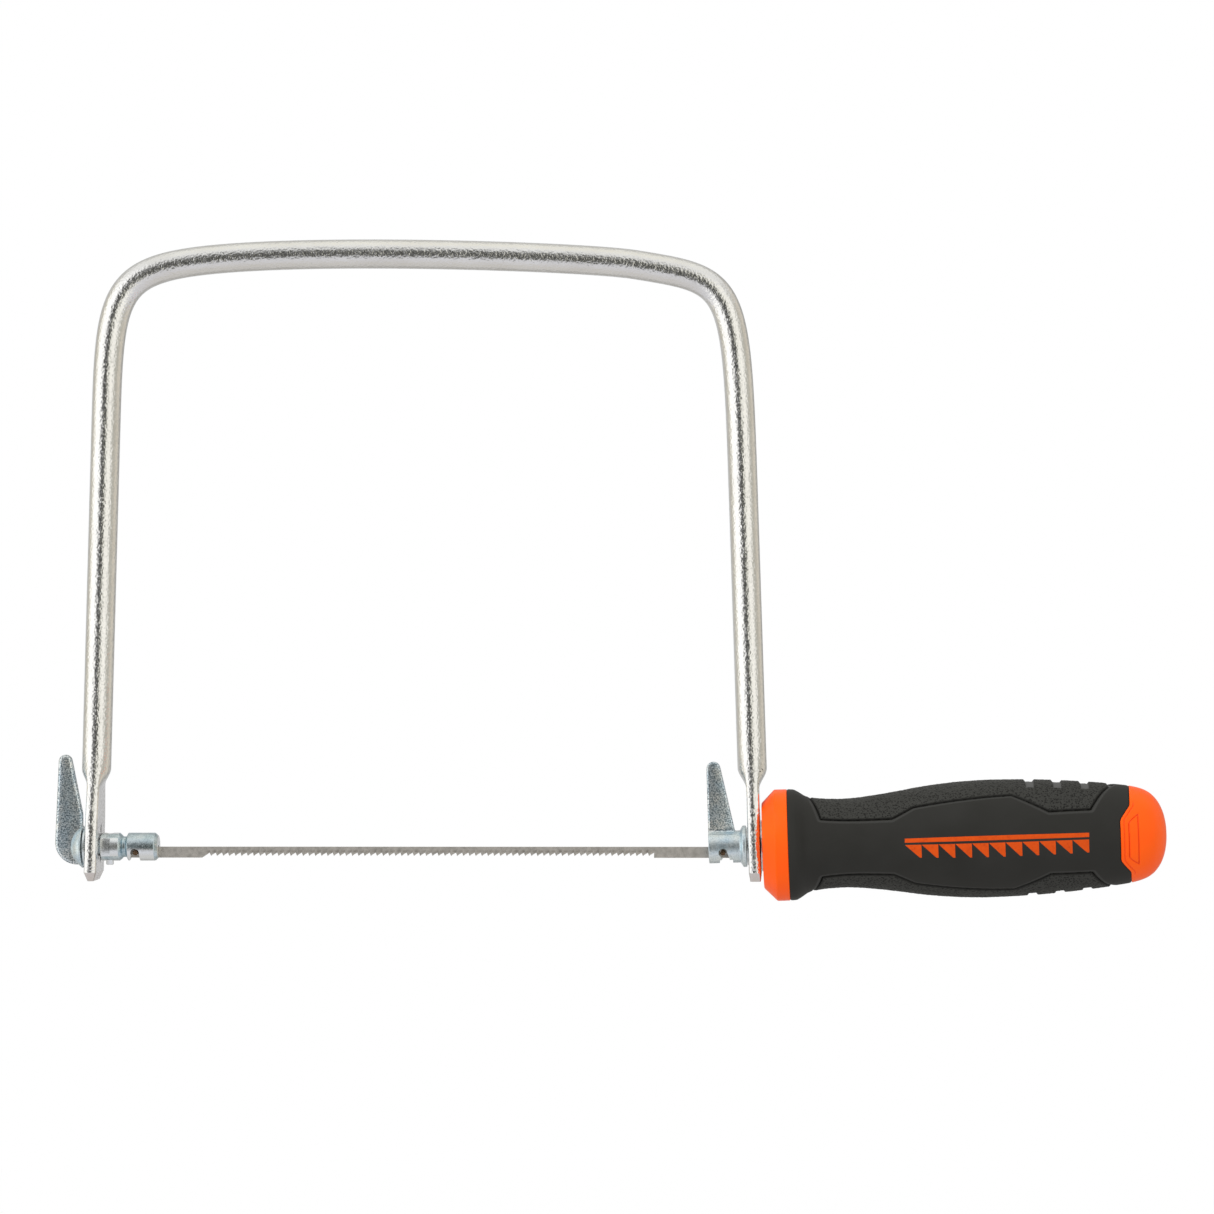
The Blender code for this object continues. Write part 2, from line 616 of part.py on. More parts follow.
def make_handle_core():
    """Hard core: the front collar, the tube under the sleeve and the domed rear cap."""
    face = COLLAR_FACE
    dome_length = HANDLE_LENGTH - DOME_START
    dome_radius = grip_radius(DOME_START)
    profile = []
    for i in range(7):
        angle = math.pi / 2.0 * i / 6.0
        along = face + DOME_START + dome_length * math.cos(angle)
        profile.append((along, dome_radius * math.sin(angle)))
    profile.append((face + SLEEVE_END, grip_radius(SLEEVE_END)))
    inner = SLEEVE_WALL + JOINT_GAP
    for s in reversed(grip_stations(COLLAR_LENGTH, SLEEVE_END, 9)):
        profile.append((face + s, grip_radius(s) - inner))
    profile += [(face + COLLAR_LENGTH, COLLAR_RADIUS), (face + COLLAR_CHAMFER, COLLAR_RADIUS)]
    profile += [(face, COLLAR_RADIUS - COLLAR_CHAMFER), (face, 0.0)]
    core = add_part("handle_core", turned_mesh("handle_core", profile),
                    HANDLE_AXIS, ORANGE, 0.35, 0.0)
    nut_hole = rod_mesh("nut_hole_cutter", (0.0, 0.0, 0.0),
                        (face + NUT_LENGTH + 2.0 * JOINT_GAP, 0.0, 0.0), NUT_RADIUS + JOINT_GAP)
    combine(core, add_cutter("nut_hole_cutter", nut_hole, HANDLE_AXIS), "DIFFERENCE")
    screw_hole = rod_mesh("screw_hole_cutter", (face, 0.0, 0.0),
                          (SCREW_LENGTH + 8.0 * MM, 0.0, 0.0), SCREW_RADIUS + 0.4 * MM)
    combine(core, add_cutter("screw_hole_cutter", screw_hole, HANDLE_AXIS), "DIFFERENCE")


def make_handle_nut():
    """The threaded insert that draws the tension screw in, a knurled steel bush."""
    start = COLLAR_FACE + JOINT_GAP
    end = start + NUT_LENGTH
    inner = SCREW_RADIUS + JOINT_GAP
    depth, width = NUT_GROOVE
    groove_start = (start + end - width) / 2.0
    groove_end = groove_start + width
    profile = [(end, NUT_RADIUS), (groove_end, NUT_RADIUS), (groove_end, NUT_RADIUS - depth)]
    profile += [(groove_start, NUT_RADIUS - depth), (groove_start, NUT_RADIUS)]
    profile += [(start, NUT_RADIUS), (start, inner), (end, inner)]
    mesh = turned_mesh("handle_nut", profile, closed=True)
    add_part("handle_nut", mesh, HANDLE_AXIS, STEEL, 0.4, 1.0)


def make_grip_sleeve():
    """Soft overmould between the collar and the rear cap, waisted and swollen."""
    start = COLLAR_LENGTH + JOINT_GAP
    end = SLEEVE_END - JOINT_GAP
    outer = [(COLLAR_FACE + s, grip_radius(s)) for s in grip_stations(start, end, 16)]
    inner = [(x, radius - SLEEVE_WALL) for x, radius in outer[::2]]
    profile = list(reversed(outer)) + inner
    mesh = turned_mesh("grip_sleeve", profile, closed=True)
    add_part("grip_sleeve", mesh, HANDLE_AXIS, BLACK, 0.7, 0.0)


clear_scene()
PIECES = make_collection("coping_saw")
GUIDES = make_collection("cutters")
BLADE_AXIS = make_empty("blade_axis", (0.0, 0.0, -THROAT_DEPTH))
HANDLE_AXIS = make_empty("handle_axis", (PIN_REAR_X, 0.0, -THROAT_DEPTH), HANDLE_TILT)

make_bow()
make_front_lever()
make_washer("front_spring_washer", BLADE_AXIS, FRONT_FLANGE_X + JOINT_GAP, 0.7 * MM,
            5.2 * MM, 2.6 * MM)
make_front_spigot()
make_lock_pin()
make_blade()
make_rear_holder()
make_tension_screw()
make_washer("rear_wear_washer", HANDLE_AXIS, HOLDER_FACE + 0.15 * MM, 0.2 * MM,
            5.2 * MM, 2.8 * MM)
make_washer("handle_thrust_washer", HANDLE_AXIS, COLLAR_FACE - 0.4 * MM, 0.25 * MM,
            7.0 * MM, 2.8 * MM)
make_handle_core()
make_handle_nut()
make_grip_sleeve()
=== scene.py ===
"""Looks of the coping saw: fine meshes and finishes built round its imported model.

Everything is in metres in the model's frame: +X along the blade to the handle, +Z up,
the origin under the bow's top bar. Millimetre sizes are multiplied by MM.
"""
import json
import math

import bmesh
import bpy
import numpy as np
from mathutils import Matrix, Vector, noise
from mathutils.geometry import interpolate_bezier


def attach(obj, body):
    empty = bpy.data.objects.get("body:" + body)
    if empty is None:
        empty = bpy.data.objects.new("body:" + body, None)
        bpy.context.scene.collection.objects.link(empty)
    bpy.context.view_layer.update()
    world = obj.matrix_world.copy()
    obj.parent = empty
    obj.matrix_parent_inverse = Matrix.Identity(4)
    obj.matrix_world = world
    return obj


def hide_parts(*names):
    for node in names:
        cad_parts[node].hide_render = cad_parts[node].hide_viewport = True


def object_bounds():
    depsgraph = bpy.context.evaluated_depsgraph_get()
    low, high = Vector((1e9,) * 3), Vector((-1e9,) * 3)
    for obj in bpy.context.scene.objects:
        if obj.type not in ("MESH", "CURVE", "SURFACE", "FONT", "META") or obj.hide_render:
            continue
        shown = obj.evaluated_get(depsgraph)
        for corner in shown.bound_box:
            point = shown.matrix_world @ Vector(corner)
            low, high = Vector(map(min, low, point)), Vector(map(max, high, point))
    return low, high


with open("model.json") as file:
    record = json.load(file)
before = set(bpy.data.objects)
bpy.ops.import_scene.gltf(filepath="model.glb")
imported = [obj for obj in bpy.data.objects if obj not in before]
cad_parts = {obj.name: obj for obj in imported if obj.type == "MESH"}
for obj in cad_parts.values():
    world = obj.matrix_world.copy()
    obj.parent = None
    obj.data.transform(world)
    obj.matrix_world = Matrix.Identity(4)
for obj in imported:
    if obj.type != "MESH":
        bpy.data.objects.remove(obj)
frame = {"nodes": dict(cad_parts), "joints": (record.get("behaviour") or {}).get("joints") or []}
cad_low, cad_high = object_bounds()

MM = 0.001
JOINTS = {joint["name"]: joint for joint in frame["joints"]}
BLADE_AXIS_Z = JOINTS["front_turn"]["pos_m"][2]
HANDLE_ORIGIN = Vector(JOINTS["handle_turn"]["pos_m"])
HANDLE_X = Vector(JOINTS["handle_turn"]["axis"]).normalized()
HANDLE_Y = Vector((0.0, 1.0, 0.0))
HANDLE_TURN = Matrix((HANDLE_X, HANDLE_Y, HANDLE_X.cross(HANDLE_Y))).transposed().to_4x4()
# Pieces are built in one of two spaces. The blade's has z = 0 on the spigot's axis. The
# handle's runs along the handle's own axis and counts from the rear blade pin.
BLADE_SPACE = Matrix.Translation((0.0, 0.0, BLADE_AXIS_Z))
HANDLE_SPACE = Matrix.Translation(HANDLE_ORIGIN) @ HANDLE_TURN


# ------ mesh helpers

def mm(*sizes):
    """Sizes in millimetres as a tuple in metres."""
    return tuple(size * MM for size in sizes)


def mesh_object(name, work, space):
    """A linked object from a bmesh, in the model's frame, with outward faces."""
    bmesh.ops.recalc_face_normals(work, faces=work.faces)
    mesh = bpy.data.meshes.new(name)
    work.to_mesh(mesh)
    work.free()
    mesh.transform(space)
    made = bpy.data.objects.new(name, mesh)
    bpy.context.scene.collection.objects.link(made)
    return made


def skin(rings, closed_loop=False):
    """A bmesh skinned over rings of points, capped unless its last ring meets its first."""
    work = bmesh.new()
    loops = [[work.verts.new(point) for point in ring] for ring in rings]
    pairs = list(zip(loops, loops[1:]))
    if closed_loop:
        pairs.append((loops[-1], loops[0]))
    for here, there in pairs:
        for i in range(len(here)):
            j = (i + 1) % len(here)
            work.faces.new((here[i], here[j], there[j], there[i]))
    if not closed_loop:
        work.faces.new(loops[0])
        work.faces.new(loops[-1])
    return work


def circle(along, radius, steps):
    """A ring of points about X."""
    angles = [2.0 * math.pi * i / steps for i in range(steps)]
    return [(along, radius * math.cos(angle), radius * math.sin(angle)) for angle in angles]


def turned(name, profile, space, steps=96):
    """A solid turned about X from (distance along X, radius) pairs."""
    return mesh_object(name, skin([circle(x, radius, steps) for x, radius in profile]), space)


def arc(center, radius, start, end, count):
    """Points on an arc from one angle to another, in degrees."""
    points = []
    for i in range(count + 1):
        angle = math.radians(start + (end - start) * i / count)
        points.append((center[0] + radius * math.cos(angle),
                       center[1] + radius * math.sin(angle)))
    return points


def prism(name, outline, thickness, space, bevel=0.0):
    """An XZ outline given thickness about Y = 0, its two rims rounded."""
    work = bmesh.new()
    front = [work.verts.new((x, -thickness / 2.0, z)) for x, z in outline]
    face = work.faces.new(front)
    grown = bmesh.ops.extrude_face_region(work, geom=[face])
    moved = [item for item in grown["geom"] if isinstance(item, bmesh.types.BMVert)]
    bmesh.ops.translate(work, verts=moved, vec=(0.0, thickness, 0.0))
    if bevel:
        rims = [edge for edge in work.edges
                if abs(edge.verts[0].co.y - edge.verts[1].co.y) < thickness / 10.0]
        bmesh.ops.bevel(work, geom=rims, offset=bevel, segments=4, profile=0.5,
                        affect="EDGES", clamp_overlap=True)
    return mesh_object(name, work, space)


def block(name, low, high, space):
    """A box between two corners."""
    work = bmesh.new()
    bmesh.ops.create_cube(work, size=1.0)
    bmesh.ops.scale(work, vec=Vector(high) - Vector(low), verts=work.verts)
    bmesh.ops.translate(work, vec=(Vector(low) + Vector(high)) / 2.0, verts=work.verts)
    return mesh_object(name, work, space)


def rod(name, start, end, radius, space, steps=48, chamfer=0.0):
    """A round bar between two points, its ends chamfered."""
    axis = Vector(end) - Vector(start)
    length = axis.length
    profile = [(0.0, radius), (length, radius)]
    if chamfer:
        profile = [(0.0, radius - chamfer), (chamfer, radius), (length - chamfer, radius),
                   (length, radius - chamfer)]
    turn = axis.to_track_quat("X", "Z").to_matrix().to_4x4()
    return turned(name, profile, space @ Matrix.Translation(start) @ turn, steps)


def apply_modifier(target):
    """Keep the mesh that the object's modifier makes, and drop the modifier."""
    bpy.context.view_layer.update()
    evaluated = target.evaluated_get(bpy.context.evaluated_depsgraph_get())
    old = target.data
    mesh = bpy.data.meshes.new_from_object(evaluated)
    target.modifiers.clear()
    target.data = mesh
    bpy.data.meshes.remove(old)


def join(target, other, operation="UNION"):
    """Apply a Boolean with another object, which is then removed."""
    modifier = target.modifiers.new("join", "BOOLEAN")
    modifier.operation = operation
    modifier.solver = "EXACT"
    modifier.object = other
    apply_modifier(target)
    bpy.data.objects.remove(other, do_unlink=True)


def cut_away(target, *others):
    for other in others:
        join(target, other, "DIFFERENCE")


def soften(target, width, angle):
    """Break the edges sharper than this many degrees."""
    modifier = target.modifiers.new("soften", "BEVEL")
    modifier.width = width
    modifier.segments = 2
    modifier.limit_method = "ANGLE"
    modifier.angle_limit = math.radians(angle)
    apply_modifier(target)


def ease(value, low, high):
    """Rise smoothly from 0 at low to 1 at high."""
    t = np.clip((value - low) / (high - low), 0.0, 1.0)
    return t * t * (3.0 - 2.0 * t)


def finish_piece(piece, body, material, slot, sharp, *nodes):
    """Shade, dress and hang a piece on its body in place of CAD nodes.

    Edges that turn by more than sharp, in degrees, are shaded as edges.
    """
    piece.data.shade_smooth()
    piece.data.set_sharp_from_angle(angle=math.radians(sharp))
    piece.data.materials.clear()
    piece.data.materials.append(material)
    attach(piece, body)
    if nodes:
        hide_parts(*nodes)


# ------ materials

class Graph:
    """Short calls that add nodes to a tree."""

    def __init__(self, tree):
        self.nodes = tree.nodes
        self.links = tree.links

    def feed(self, socket, value):
        """Give a socket a number, a colour, a vector or another node's output."""
        if isinstance(value, tuple):
            socket.default_value = (*value, 1.0)[:len(socket.default_value)]
        elif isinstance(value, (int, float)):
            socket.default_value = value
        else:
            self.links.new(value, socket)

    def node(self, kind, inputs, **settings):
        """A new node; its inputs go by name or number."""
        made = self.nodes.new(kind)
        for name, value in settings.items():
            setattr(made, name, value)
        for key, value in inputs.items():
            self.feed(made.inputs[key], value)
        return made

    def ramp(self, value, stops):
        """Turn a value into colours at (position, colour) stops."""
        node = self.node("ShaderNodeValToRGB", {"Fac": value})
        while len(node.color_ramp.elements) < len(stops):
            node.color_ramp.elements.new(0.5)
        for element, (position, color) in zip(node.color_ramp.elements, stops):
            element.position = position
            element.color = (*color, 1.0)
        return node.outputs["Color"]

    def span(self, value, low, high, out_low, out_high, shape="LINEAR"):
        """Carry one range of a value over to another, and hold it there."""
        inputs = {"Value": value, "From Min": low, "From Max": high,
                  "To Min": out_low, "To Max": out_high}
        return self.node("ShaderNodeMapRange", inputs, interpolation_type=shape).outputs["Result"]

    def math(self, operation, a, b=0.0):
        return self.node("ShaderNodeMath", {0: a, 1: b}, operation=operation).outputs["Value"]

    def mix(self, factor, a, b, blend="MIX"):
        """Two colours mixed; the colour sockets of this node are numbers 6 and 7."""
        node = self.node("ShaderNodeMix", {0: factor, 6: a, 7: b}, data_type="RGBA", blend_type=blend)
        return node.outputs[2]

    def blend(self, share, first, second):
        """Two shaders mixed, by the second one's share."""
        return self.node("ShaderNodeMixShader", {0: share, 1: first, 2: second}).outputs["Shader"]


class Finish(Graph):
    """A Principled material with short calls for its procedural detail."""

    def __init__(self, name, metallic, roughness, color):
        self.material = bpy.data.materials.new(name)
        self.material.use_nodes = True
        super().__init__(self.material.node_tree)
        self.shader = self.nodes["Principled BSDF"]
        self.feed(self.shader.inputs["Metallic"], metallic)
        self.feed(self.shader.inputs["Roughness"], roughness)
        self.feed(self.shader.inputs["Base Color"], color)
        self.place = self.node("ShaderNodeTexCoord", {}).outputs["Object"]
        self.normal = None

    def stretch(self, scale):
        """The place, scaled by its own share along each axis."""
        inputs = {"Vector": self.place, "Scale": scale}
        return self.node("ShaderNodeMapping", inputs).outputs["Vector"]

    def grain(self, size, detail=2.0, place=None, roughness=0.5):
        """Cloudy noise whose features are about this size, in metres."""
        inputs = {"Vector": place or self.place, "Scale": 1.0 / size, "Detail": detail,
                  "Roughness": roughness}
        return self.node("ShaderNodeTexNoise", inputs).outputs["Fac"]

    def cells(self, size):
        """Distance from the middles of cells about this far apart, in metres."""
        inputs = {"Vector": self.place, "Scale": 1.0 / size}
        return self.node("ShaderNodeTexVoronoi", inputs).outputs["Distance"]

    def along(self, axis):
        return self.node("ShaderNodeSeparateXYZ", {"Vector": self.place}).outputs[axis]

    def height(self):
        """How far above the blade's axis, in metres."""
        return self.math("SUBTRACT", self.along("Z"), BLADE_AXIS_Z)

    def aside(self):
        """How far to either side of the saw's middle plane, in metres."""
        return self.math("ABSOLUTE", self.along("Y"))

    def attribute(self, name):
        """A weight from 0 to 1 that the mesh carries."""
        return self.node("ShaderNodeAttribute", {}, attribute_name=name).outputs["Fac"]

    def edges(self):
        """1 on convex edges and 0 on flat ground; used to paint a highlight along edges."""
        pointed = self.node("ShaderNodeNewGeometry", {}).outputs["Pointiness"]
        return self.span(pointed, 0.505, 0.56, 0.0, 1.0)

    def color(self, value):
        self.links.new(value, self.shader.inputs["Base Color"])

    def roughness(self, value):
        self.links.new(value, self.shader.inputs["Roughness"])

    def bump(self, height, depth, strength=1.0):
        """Stack a bump of this depth in metres on those before it."""
        inputs = {"Height": height, "Distance": depth, "Strength": strength}
        if self.normal is not None:
            inputs["Normal"] = self.normal
        self.normal = self.node("ShaderNodeBump", inputs).outputs["Normal"]
        self.links.new(self.normal, self.shader.inputs["Normal"])


def satin_nickel():
    """The bow's plating: bright and finely pimpled, a warmer, darker tone on the chamfered leg ends."""
    finish = Finish("satin_nickel", 1.0, 0.16, (0.83, 0.82, 0.80))
    pimples = finish.grain(1.3 * MM, 1.0)
    fine = finish.grain(0.60 * MM, 0.8)
    cloud = finish.grain(9.0 * MM, 3.0)
    plating = finish.ramp(cloud, [(0.3, (0.84, 0.83, 0.81)), (0.7, (0.90, 0.895, 0.88))])
    at_the_ends = finish.span(finish.height(), -6.95 * MM, -6.7 * MM, 1.0, 0.0)
    finish.color(finish.mix(at_the_ends, plating, (0.75, 0.70, 0.66)))
    finish.roughness(finish.span(fine, 0.3, 0.7, 0.10, 0.18))
    finish.bump(pimples, 0.02 * MM)
    finish.bump(fine, 0.13 * MM)
    return finish.material


def cast_zinc():
    """Die-cast zinc: sparkling blue-grey fins above smoother round bodies, these lightened by a painted
    highlight.
    """
    finish = Finish("cast_zinc", 1.0, 0.35, (0.6, 0.66, 0.7))
    crystals = finish.cells(0.55 * MM)
    fine = finish.grain(0.38 * MM, 2.0, roughness=0.6)
    cloud = finish.grain(4.0 * MM, 2.0)
    speckle = finish.ramp(fine, [(0.35, (0.15, 0.19, 0.22)), (0.48, (0.56, 0.63, 0.66)),
                                 (0.58, (0.98, 1.0, 1.0))])
    on_the_fin = finish.span(finish.aside(), 1.25 * MM, 1.5 * MM, 1.0, 0.3)
    # Off the fin the colour goes light and even: a painted highlight on the barrel, flange and dome.
    base = finish.mix(on_the_fin, (0.86, 0.94, 0.96), speckle)
    tint = finish.ramp(cloud, [(0.35, (0.84, 0.93, 1.0)), (0.65, (1.0, 0.99, 0.97))])
    finish.color(finish.mix(1.0, base, tint, "MULTIPLY"))
    finish.roughness(finish.span(crystals, 0.0, 0.6, 0.26, 0.38))
    finish.bump(fine, 0.018 * MM)
    finish.bump(crystals, 0.008 * MM, 0.6)
    return finish.material


def zinc_plate():
    """Turned steel with clear blue zinc plating: faint tool rings and a painted highlight on its edges.
    """
    finish = Finish("zinc_plate", 1.0, 0.3, (0.6, 0.68, 0.73))
    rings = finish.grain(0.5 * MM, 2.0, finish.stretch((3.0, 0.25, 0.25)))
    spots = finish.grain(0.5 * MM, 3.0, roughness=0.6)
    cloud = finish.grain(3.0 * MM, 2.0)
    base = finish.ramp(cloud, [(0.3, (0.42, 0.57, 0.63)), (0.5, (0.59, 0.72, 0.77)),
                               (0.7, (0.77, 0.85, 0.86))])
    dull = finish.ramp(spots, [(0.35, (0.60, 0.64, 0.67)), (0.6, (1.0, 1.0, 1.0))])
    body = finish.mix(1.0, base, dull, "MULTIPLY")
    # Painted highlight: the convex edges are lightened.
    finish.color(finish.mix(finish.edges(), body, (0.90, 0.93, 0.94)))
    finish.roughness(finish.span(spots, 0.3, 0.7, 0.16, 0.32))
    finish.bump(rings, 0.02 * MM, 0.7)
    finish.bump(spots, 0.05 * MM, 0.8)
    return finish.material


def blade_steel():
    """Hardened strip: brown-grey, ground along its length, stained in patches."""
    finish = Finish("blade_steel", 1.0, 0.5, (0.42, 0.38, 0.34))
    streaks = finish.grain(0.25 * MM, 3.0, finish.stretch((0.03, 1.0, 1.6)))
    mottle = finish.grain(1.2 * MM, 3.0)
    base = finish.ramp(streaks, [(0.3, (0.33, 0.29, 0.25)), (0.7, (0.50, 0.46, 0.41))])
    stain = finish.ramp(mottle, [(0.35, (0.86, 0.83, 0.80)), (0.65, (1.0, 1.0, 1.0))])
    body = finish.mix(1.0, base, stain, "MULTIPLY")
    # Painted highlight: the strip's convex edges are lightened.
    finish.color(finish.mix(finish.edges(), body, (0.66, 0.63, 0.59)))
    finish.roughness(finish.span(mottle, 0.3, 0.7, 0.40, 0.58))
    finish.bump(streaks, 0.01 * MM, 0.6)
    return finish.material


def pin_steel():
    """The blade's cross pins, heat-browned."""
    finish = Finish("pin_steel", 1.0, 0.5, (0.24, 0.15, 0.09))
    mottle = finish.grain(0.3 * MM, 3.0)
    finish.color(finish.ramp(mottle, [(0.3, (0.07, 0.045, 0.03)), (0.7, (0.24, 0.155, 0.095))]))
    finish.bump(mottle, 0.02 * MM, 0.6)
    return finish.material


def hard_plastic():
    """Orange moulding: satin skin with faint flow marks and handling scuffs."""
    finish = Finish("hard_plastic", 0.0, 0.36, (1.0, 0.15, 0.016))
    skin_grain = finish.grain(0.25 * MM, 2.0)
    cloud = finish.grain(14.0 * MM, 3.0)
    scuff = finish.grain(0.9 * MM, 4.0, finish.stretch((0.35, 1.0, 1.0)), roughness=0.7)
    base = finish.ramp(cloud, [(0.3, (0.99, 0.092, 0.0)), (0.7, (1.0, 0.116, 0.0))])
    scuffed = finish.mix(finish.span(scuff, 0.62, 0.80, 0.0, 0.2), base, (1.0, 0.17, 0.02))
    # Painted shade: the sunk lines round the cap's panel and along its edge are darkened.
    finish.color(finish.mix(finish.attribute("groove_shade"), scuffed, (0.72, 0.028, 0.0)))
    finish.roughness(finish.span(scuff, 0.4, 0.75, 0.32, 0.50))
    finish.shader.inputs["Specular IOR Level"].default_value = 0.18
    finish.bump(skin_grain, 0.006 * MM, 0.5)
    return finish.material


def soft_grip():
    """Black overmould: matt on the smooth sides, leathery stipple on the panels."""
    finish = Finish("soft_grip", 0.0, 0.55, (0.038, 0.038, 0.034))
    panel = finish.attribute("stipple")
    skin_grain = finish.grain(0.18 * MM, 2.0)
    cloud = finish.grain(11.0 * MM, 3.0)
    cells = finish.cells(0.60 * MM)
    leather = finish.math("MULTIPLY", cells, finish.grain(0.4 * MM, 2.0))
    smooth = finish.ramp(cloud, [(0.3, (0.0175, 0.017, 0.0145)), (0.7, (0.022, 0.0215, 0.019))])
    # Painted shade in the stipple's pits and painted light on its tops, following the cells of the bump.
    stipple_shading = finish.ramp(cells, [(0.14, (0.002, 0.002, 0.0015)), (0.28, (0.009, 0.009, 0.0075)),
                                (0.50, (0.034, 0.034, 0.030))])
    body = finish.mix(panel, smooth, stipple_shading)
    # Lighter in the finger notches; painted highlight on the facet band beside each groove.
    patchy = finish.mix(finish.attribute("notches_and_facet_sheen"), body, (0.085, 0.085, 0.082))
    # Painted shade: the grooves round the panels are darkened nearly to black.
    finish.color(finish.mix(finish.attribute("groove_shade"), patchy, (0.004, 0.004, 0.0035)))
    finish.roughness(finish.span(cloud, 0.3, 0.7, 0.52, 0.62))
    finish.shader.inputs["Specular IOR Level"].default_value = 0.22
    finish.bump(skin_grain, 0.008 * MM, 0.6)
    finish.bump(leather, 0.40 * MM, panel)
    return finish.material


def printed_orange():
    """The motif printed on the grip: flat ink over the grip's own grain."""
    finish = Finish("printed_orange", 0.0, 0.5, (0.78, 0.10, 0.0))
    grain = finish.grain(0.18 * MM, 2.0)
    patchy = finish.grain(1.5 * MM, 4.0, roughness=0.7)
    finish.color(finish.ramp(patchy, [(0.25, (0.46, 0.046, 0.001)), (0.45, (0.60, 0.064, 0.0)),
                                    (0.8, (0.68, 0.078, 0.001))]))
    finish.shader.inputs["Specular IOR Level"].default_value = 0.18
    finish.bump(grain, 0.01 * MM, 0.7)
    return finish.material


NICKEL = satin_nickel()
ZINC = cast_zinc()
PLATED = zinc_plate()
STRIP = blade_steel()
BROWNED = pin_steel()
ORANGE = hard_plastic()
BLACK = soft_grip()
INK = printed_orange()


# ------ bow

ROD_RADIUS = 3.997 * MM
LEG_END_Z = -9.2 * MM
FRONT_LEG_X = -91.9 * MM
REAR_LEG_X = 90.05 * MM
FRONT_SPLAY = math.radians(1.72)
REAR_SPLAY = math.radians(1.71)
# Each corner: the height where it leaves the leg, then the reach of its curve there and
# at the shoulder. Each shoulder: the centreline's X and Z, and the direction it runs in.
FRONT_CORNER = mm(113.2, 36.4, 22.5)
REAR_CORNER = mm(94.1, 61.3, 28.0)
TOP_REACH = mm(28.9, 14.0)
FRONT_SHOULDER = (mm(-65.0, 160.9), math.radians(8.2))
REAR_SHOULDER = (mm(57.9, 159.4), math.radians(-9.65))
FLAT_THICKNESS = 3.4 * MM
FLAT_WIDTH = 14.2 * MM
FLAT_EDGE_RADIUS = 3.0 * MM
FLAT_CORNER = 0.35 * MM
END_CHAMFER = 2.4 * MM
END_NARROWING = 1.6 * MM
FRONT_END_THINNING = 0.85 * MM
REAR_END_THINNING = 0.3 * MM
ROD_SIDES = 72
LEG_HOLE_RADIUS = 2.8 * MM


def front_leg_x(z):
    return FRONT_LEG_X + z * math.tan(FRONT_SPLAY)


def rear_leg_x(z):
    return REAR_LEG_X - z * math.tan(REAR_SPLAY)


def round_section():
    """The rod's section: (outwards, sideways) offsets from its centreline."""
    return [(u, v) for x, u, v in circle(0.0, ROD_RADIUS, ROD_SIDES)]


def pressed_section():
    """A flat bar with crowned edges and broken corners, in round_section's order."""
    half_thick = FLAT_THICKNESS / 2.0
    crown = FLAT_EDGE_RADIUS - math.sqrt(FLAT_EDGE_RADIUS ** 2 - half_thick ** 2)
    half_flat = FLAT_WIDTH / 2.0 - crown
    half_angle = math.asin(half_thick / FLAT_EDGE_RADIUS)
    side = ROD_SIDES // 3
    edge_steps = ROD_SIDES // 2 - side
    points = []
    for i in range(ROD_SIDES):
        step = (i + side // 2) % ROD_SIDES
        sign = 1.0 if step < ROD_SIDES // 2 else -1.0
        step = step % (ROD_SIDES // 2)
        if step <= side:
            flat = half_flat - FLAT_CORNER
            offset = (half_thick, -flat + 2.0 * flat * step / side)
        else:
            angle = half_angle * (1.0 - 2.0 * (step - side) / edge_steps)
            rise = FLAT_EDGE_RADIUS * math.cos(angle) - FLAT_EDGE_RADIUS + crown
            near_corner = max(0.0, abs(angle) / half_angle - 0.72) / 0.28
            offset = (FLAT_EDGE_RADIUS * math.sin(angle),
                      half_flat + rise - 0.10 * MM * near_corner ** 2)
        points.append((sign * offset[0], sign * offset[1]))
    return points


def blended_section(thinned, widened):
    """The round section pressed part of the way, by its own share in X and in Y."""
    return [(u0 + (u1 - u0) * thinned, v0 + (v1 - v0) * widened)
            for (u0, v0), (u1, v1) in zip(round_section(), pressed_section())]


def end_section(thinning, share=1.0):
    """The pressed section drawn in towards the leg's chamfered end."""
    shrink_u = 1.0 - share * 2.0 * thinning / FLAT_THICKNESS
    shrink_v = 1.0 - share * 2.0 * END_NARROWING / FLAT_WIDTH
    return [(u * shrink_u, v * shrink_v) for u, v in pressed_section()]


def leg_rings(leg_x, thinning, outward):
    """Rings from the leg's chamfered end up to where the corner starts."""
    top = LEG_END_Z + END_CHAMFER
    stations = [(LEG_END_Z, end_section(thinning, 1.0)),
                (LEG_END_Z + 0.08 * MM, end_section(thinning, 0.965)),
                (top - 0.08 * MM, end_section(thinning, 0.03)),
                (top + 0.1 * MM, pressed_section()), (0.0, pressed_section())]
    steps = 40
    for i in range(steps + 1):
        z = (5.0 + 24.0 * i / steps) * MM
        thinned = 1.0 - ease(z, 15.6 * MM, 21.6 * MM)
        widened = 1.0 - ease(z, 5.0 * MM, 29.0 * MM)
        stations.append((z, blended_section(thinned, widened)))
    stations += [(50.0 * MM, round_section()), (85.0 * MM, round_section())]
    rings = []
    for z, section in stations:
        center = Vector((leg_x(z), 0.0, z))
        rings.append([center + Vector((u * outward, v, 0.0)) for u, v in section])
    return rings


def bezier_stretch(start, end, count):
    """Points of a cubic between two knots, each with its direction and reach."""
    (p0, angle0, reach0), (p1, angle1, reach1) = start, end
    knot0 = Vector((p0[0], 0.0, p0[1]))
    knot1 = Vector((p1[0], 0.0, p1[1]))
    handle0 = knot0 + reach0 * Vector((math.cos(angle0), 0.0, math.sin(angle0)))
    handle1 = knot1 - reach1 * Vector((math.cos(angle1), 0.0, math.sin(angle1)))
    return interpolate_bezier(knot0, handle0, handle1, knot1, count)


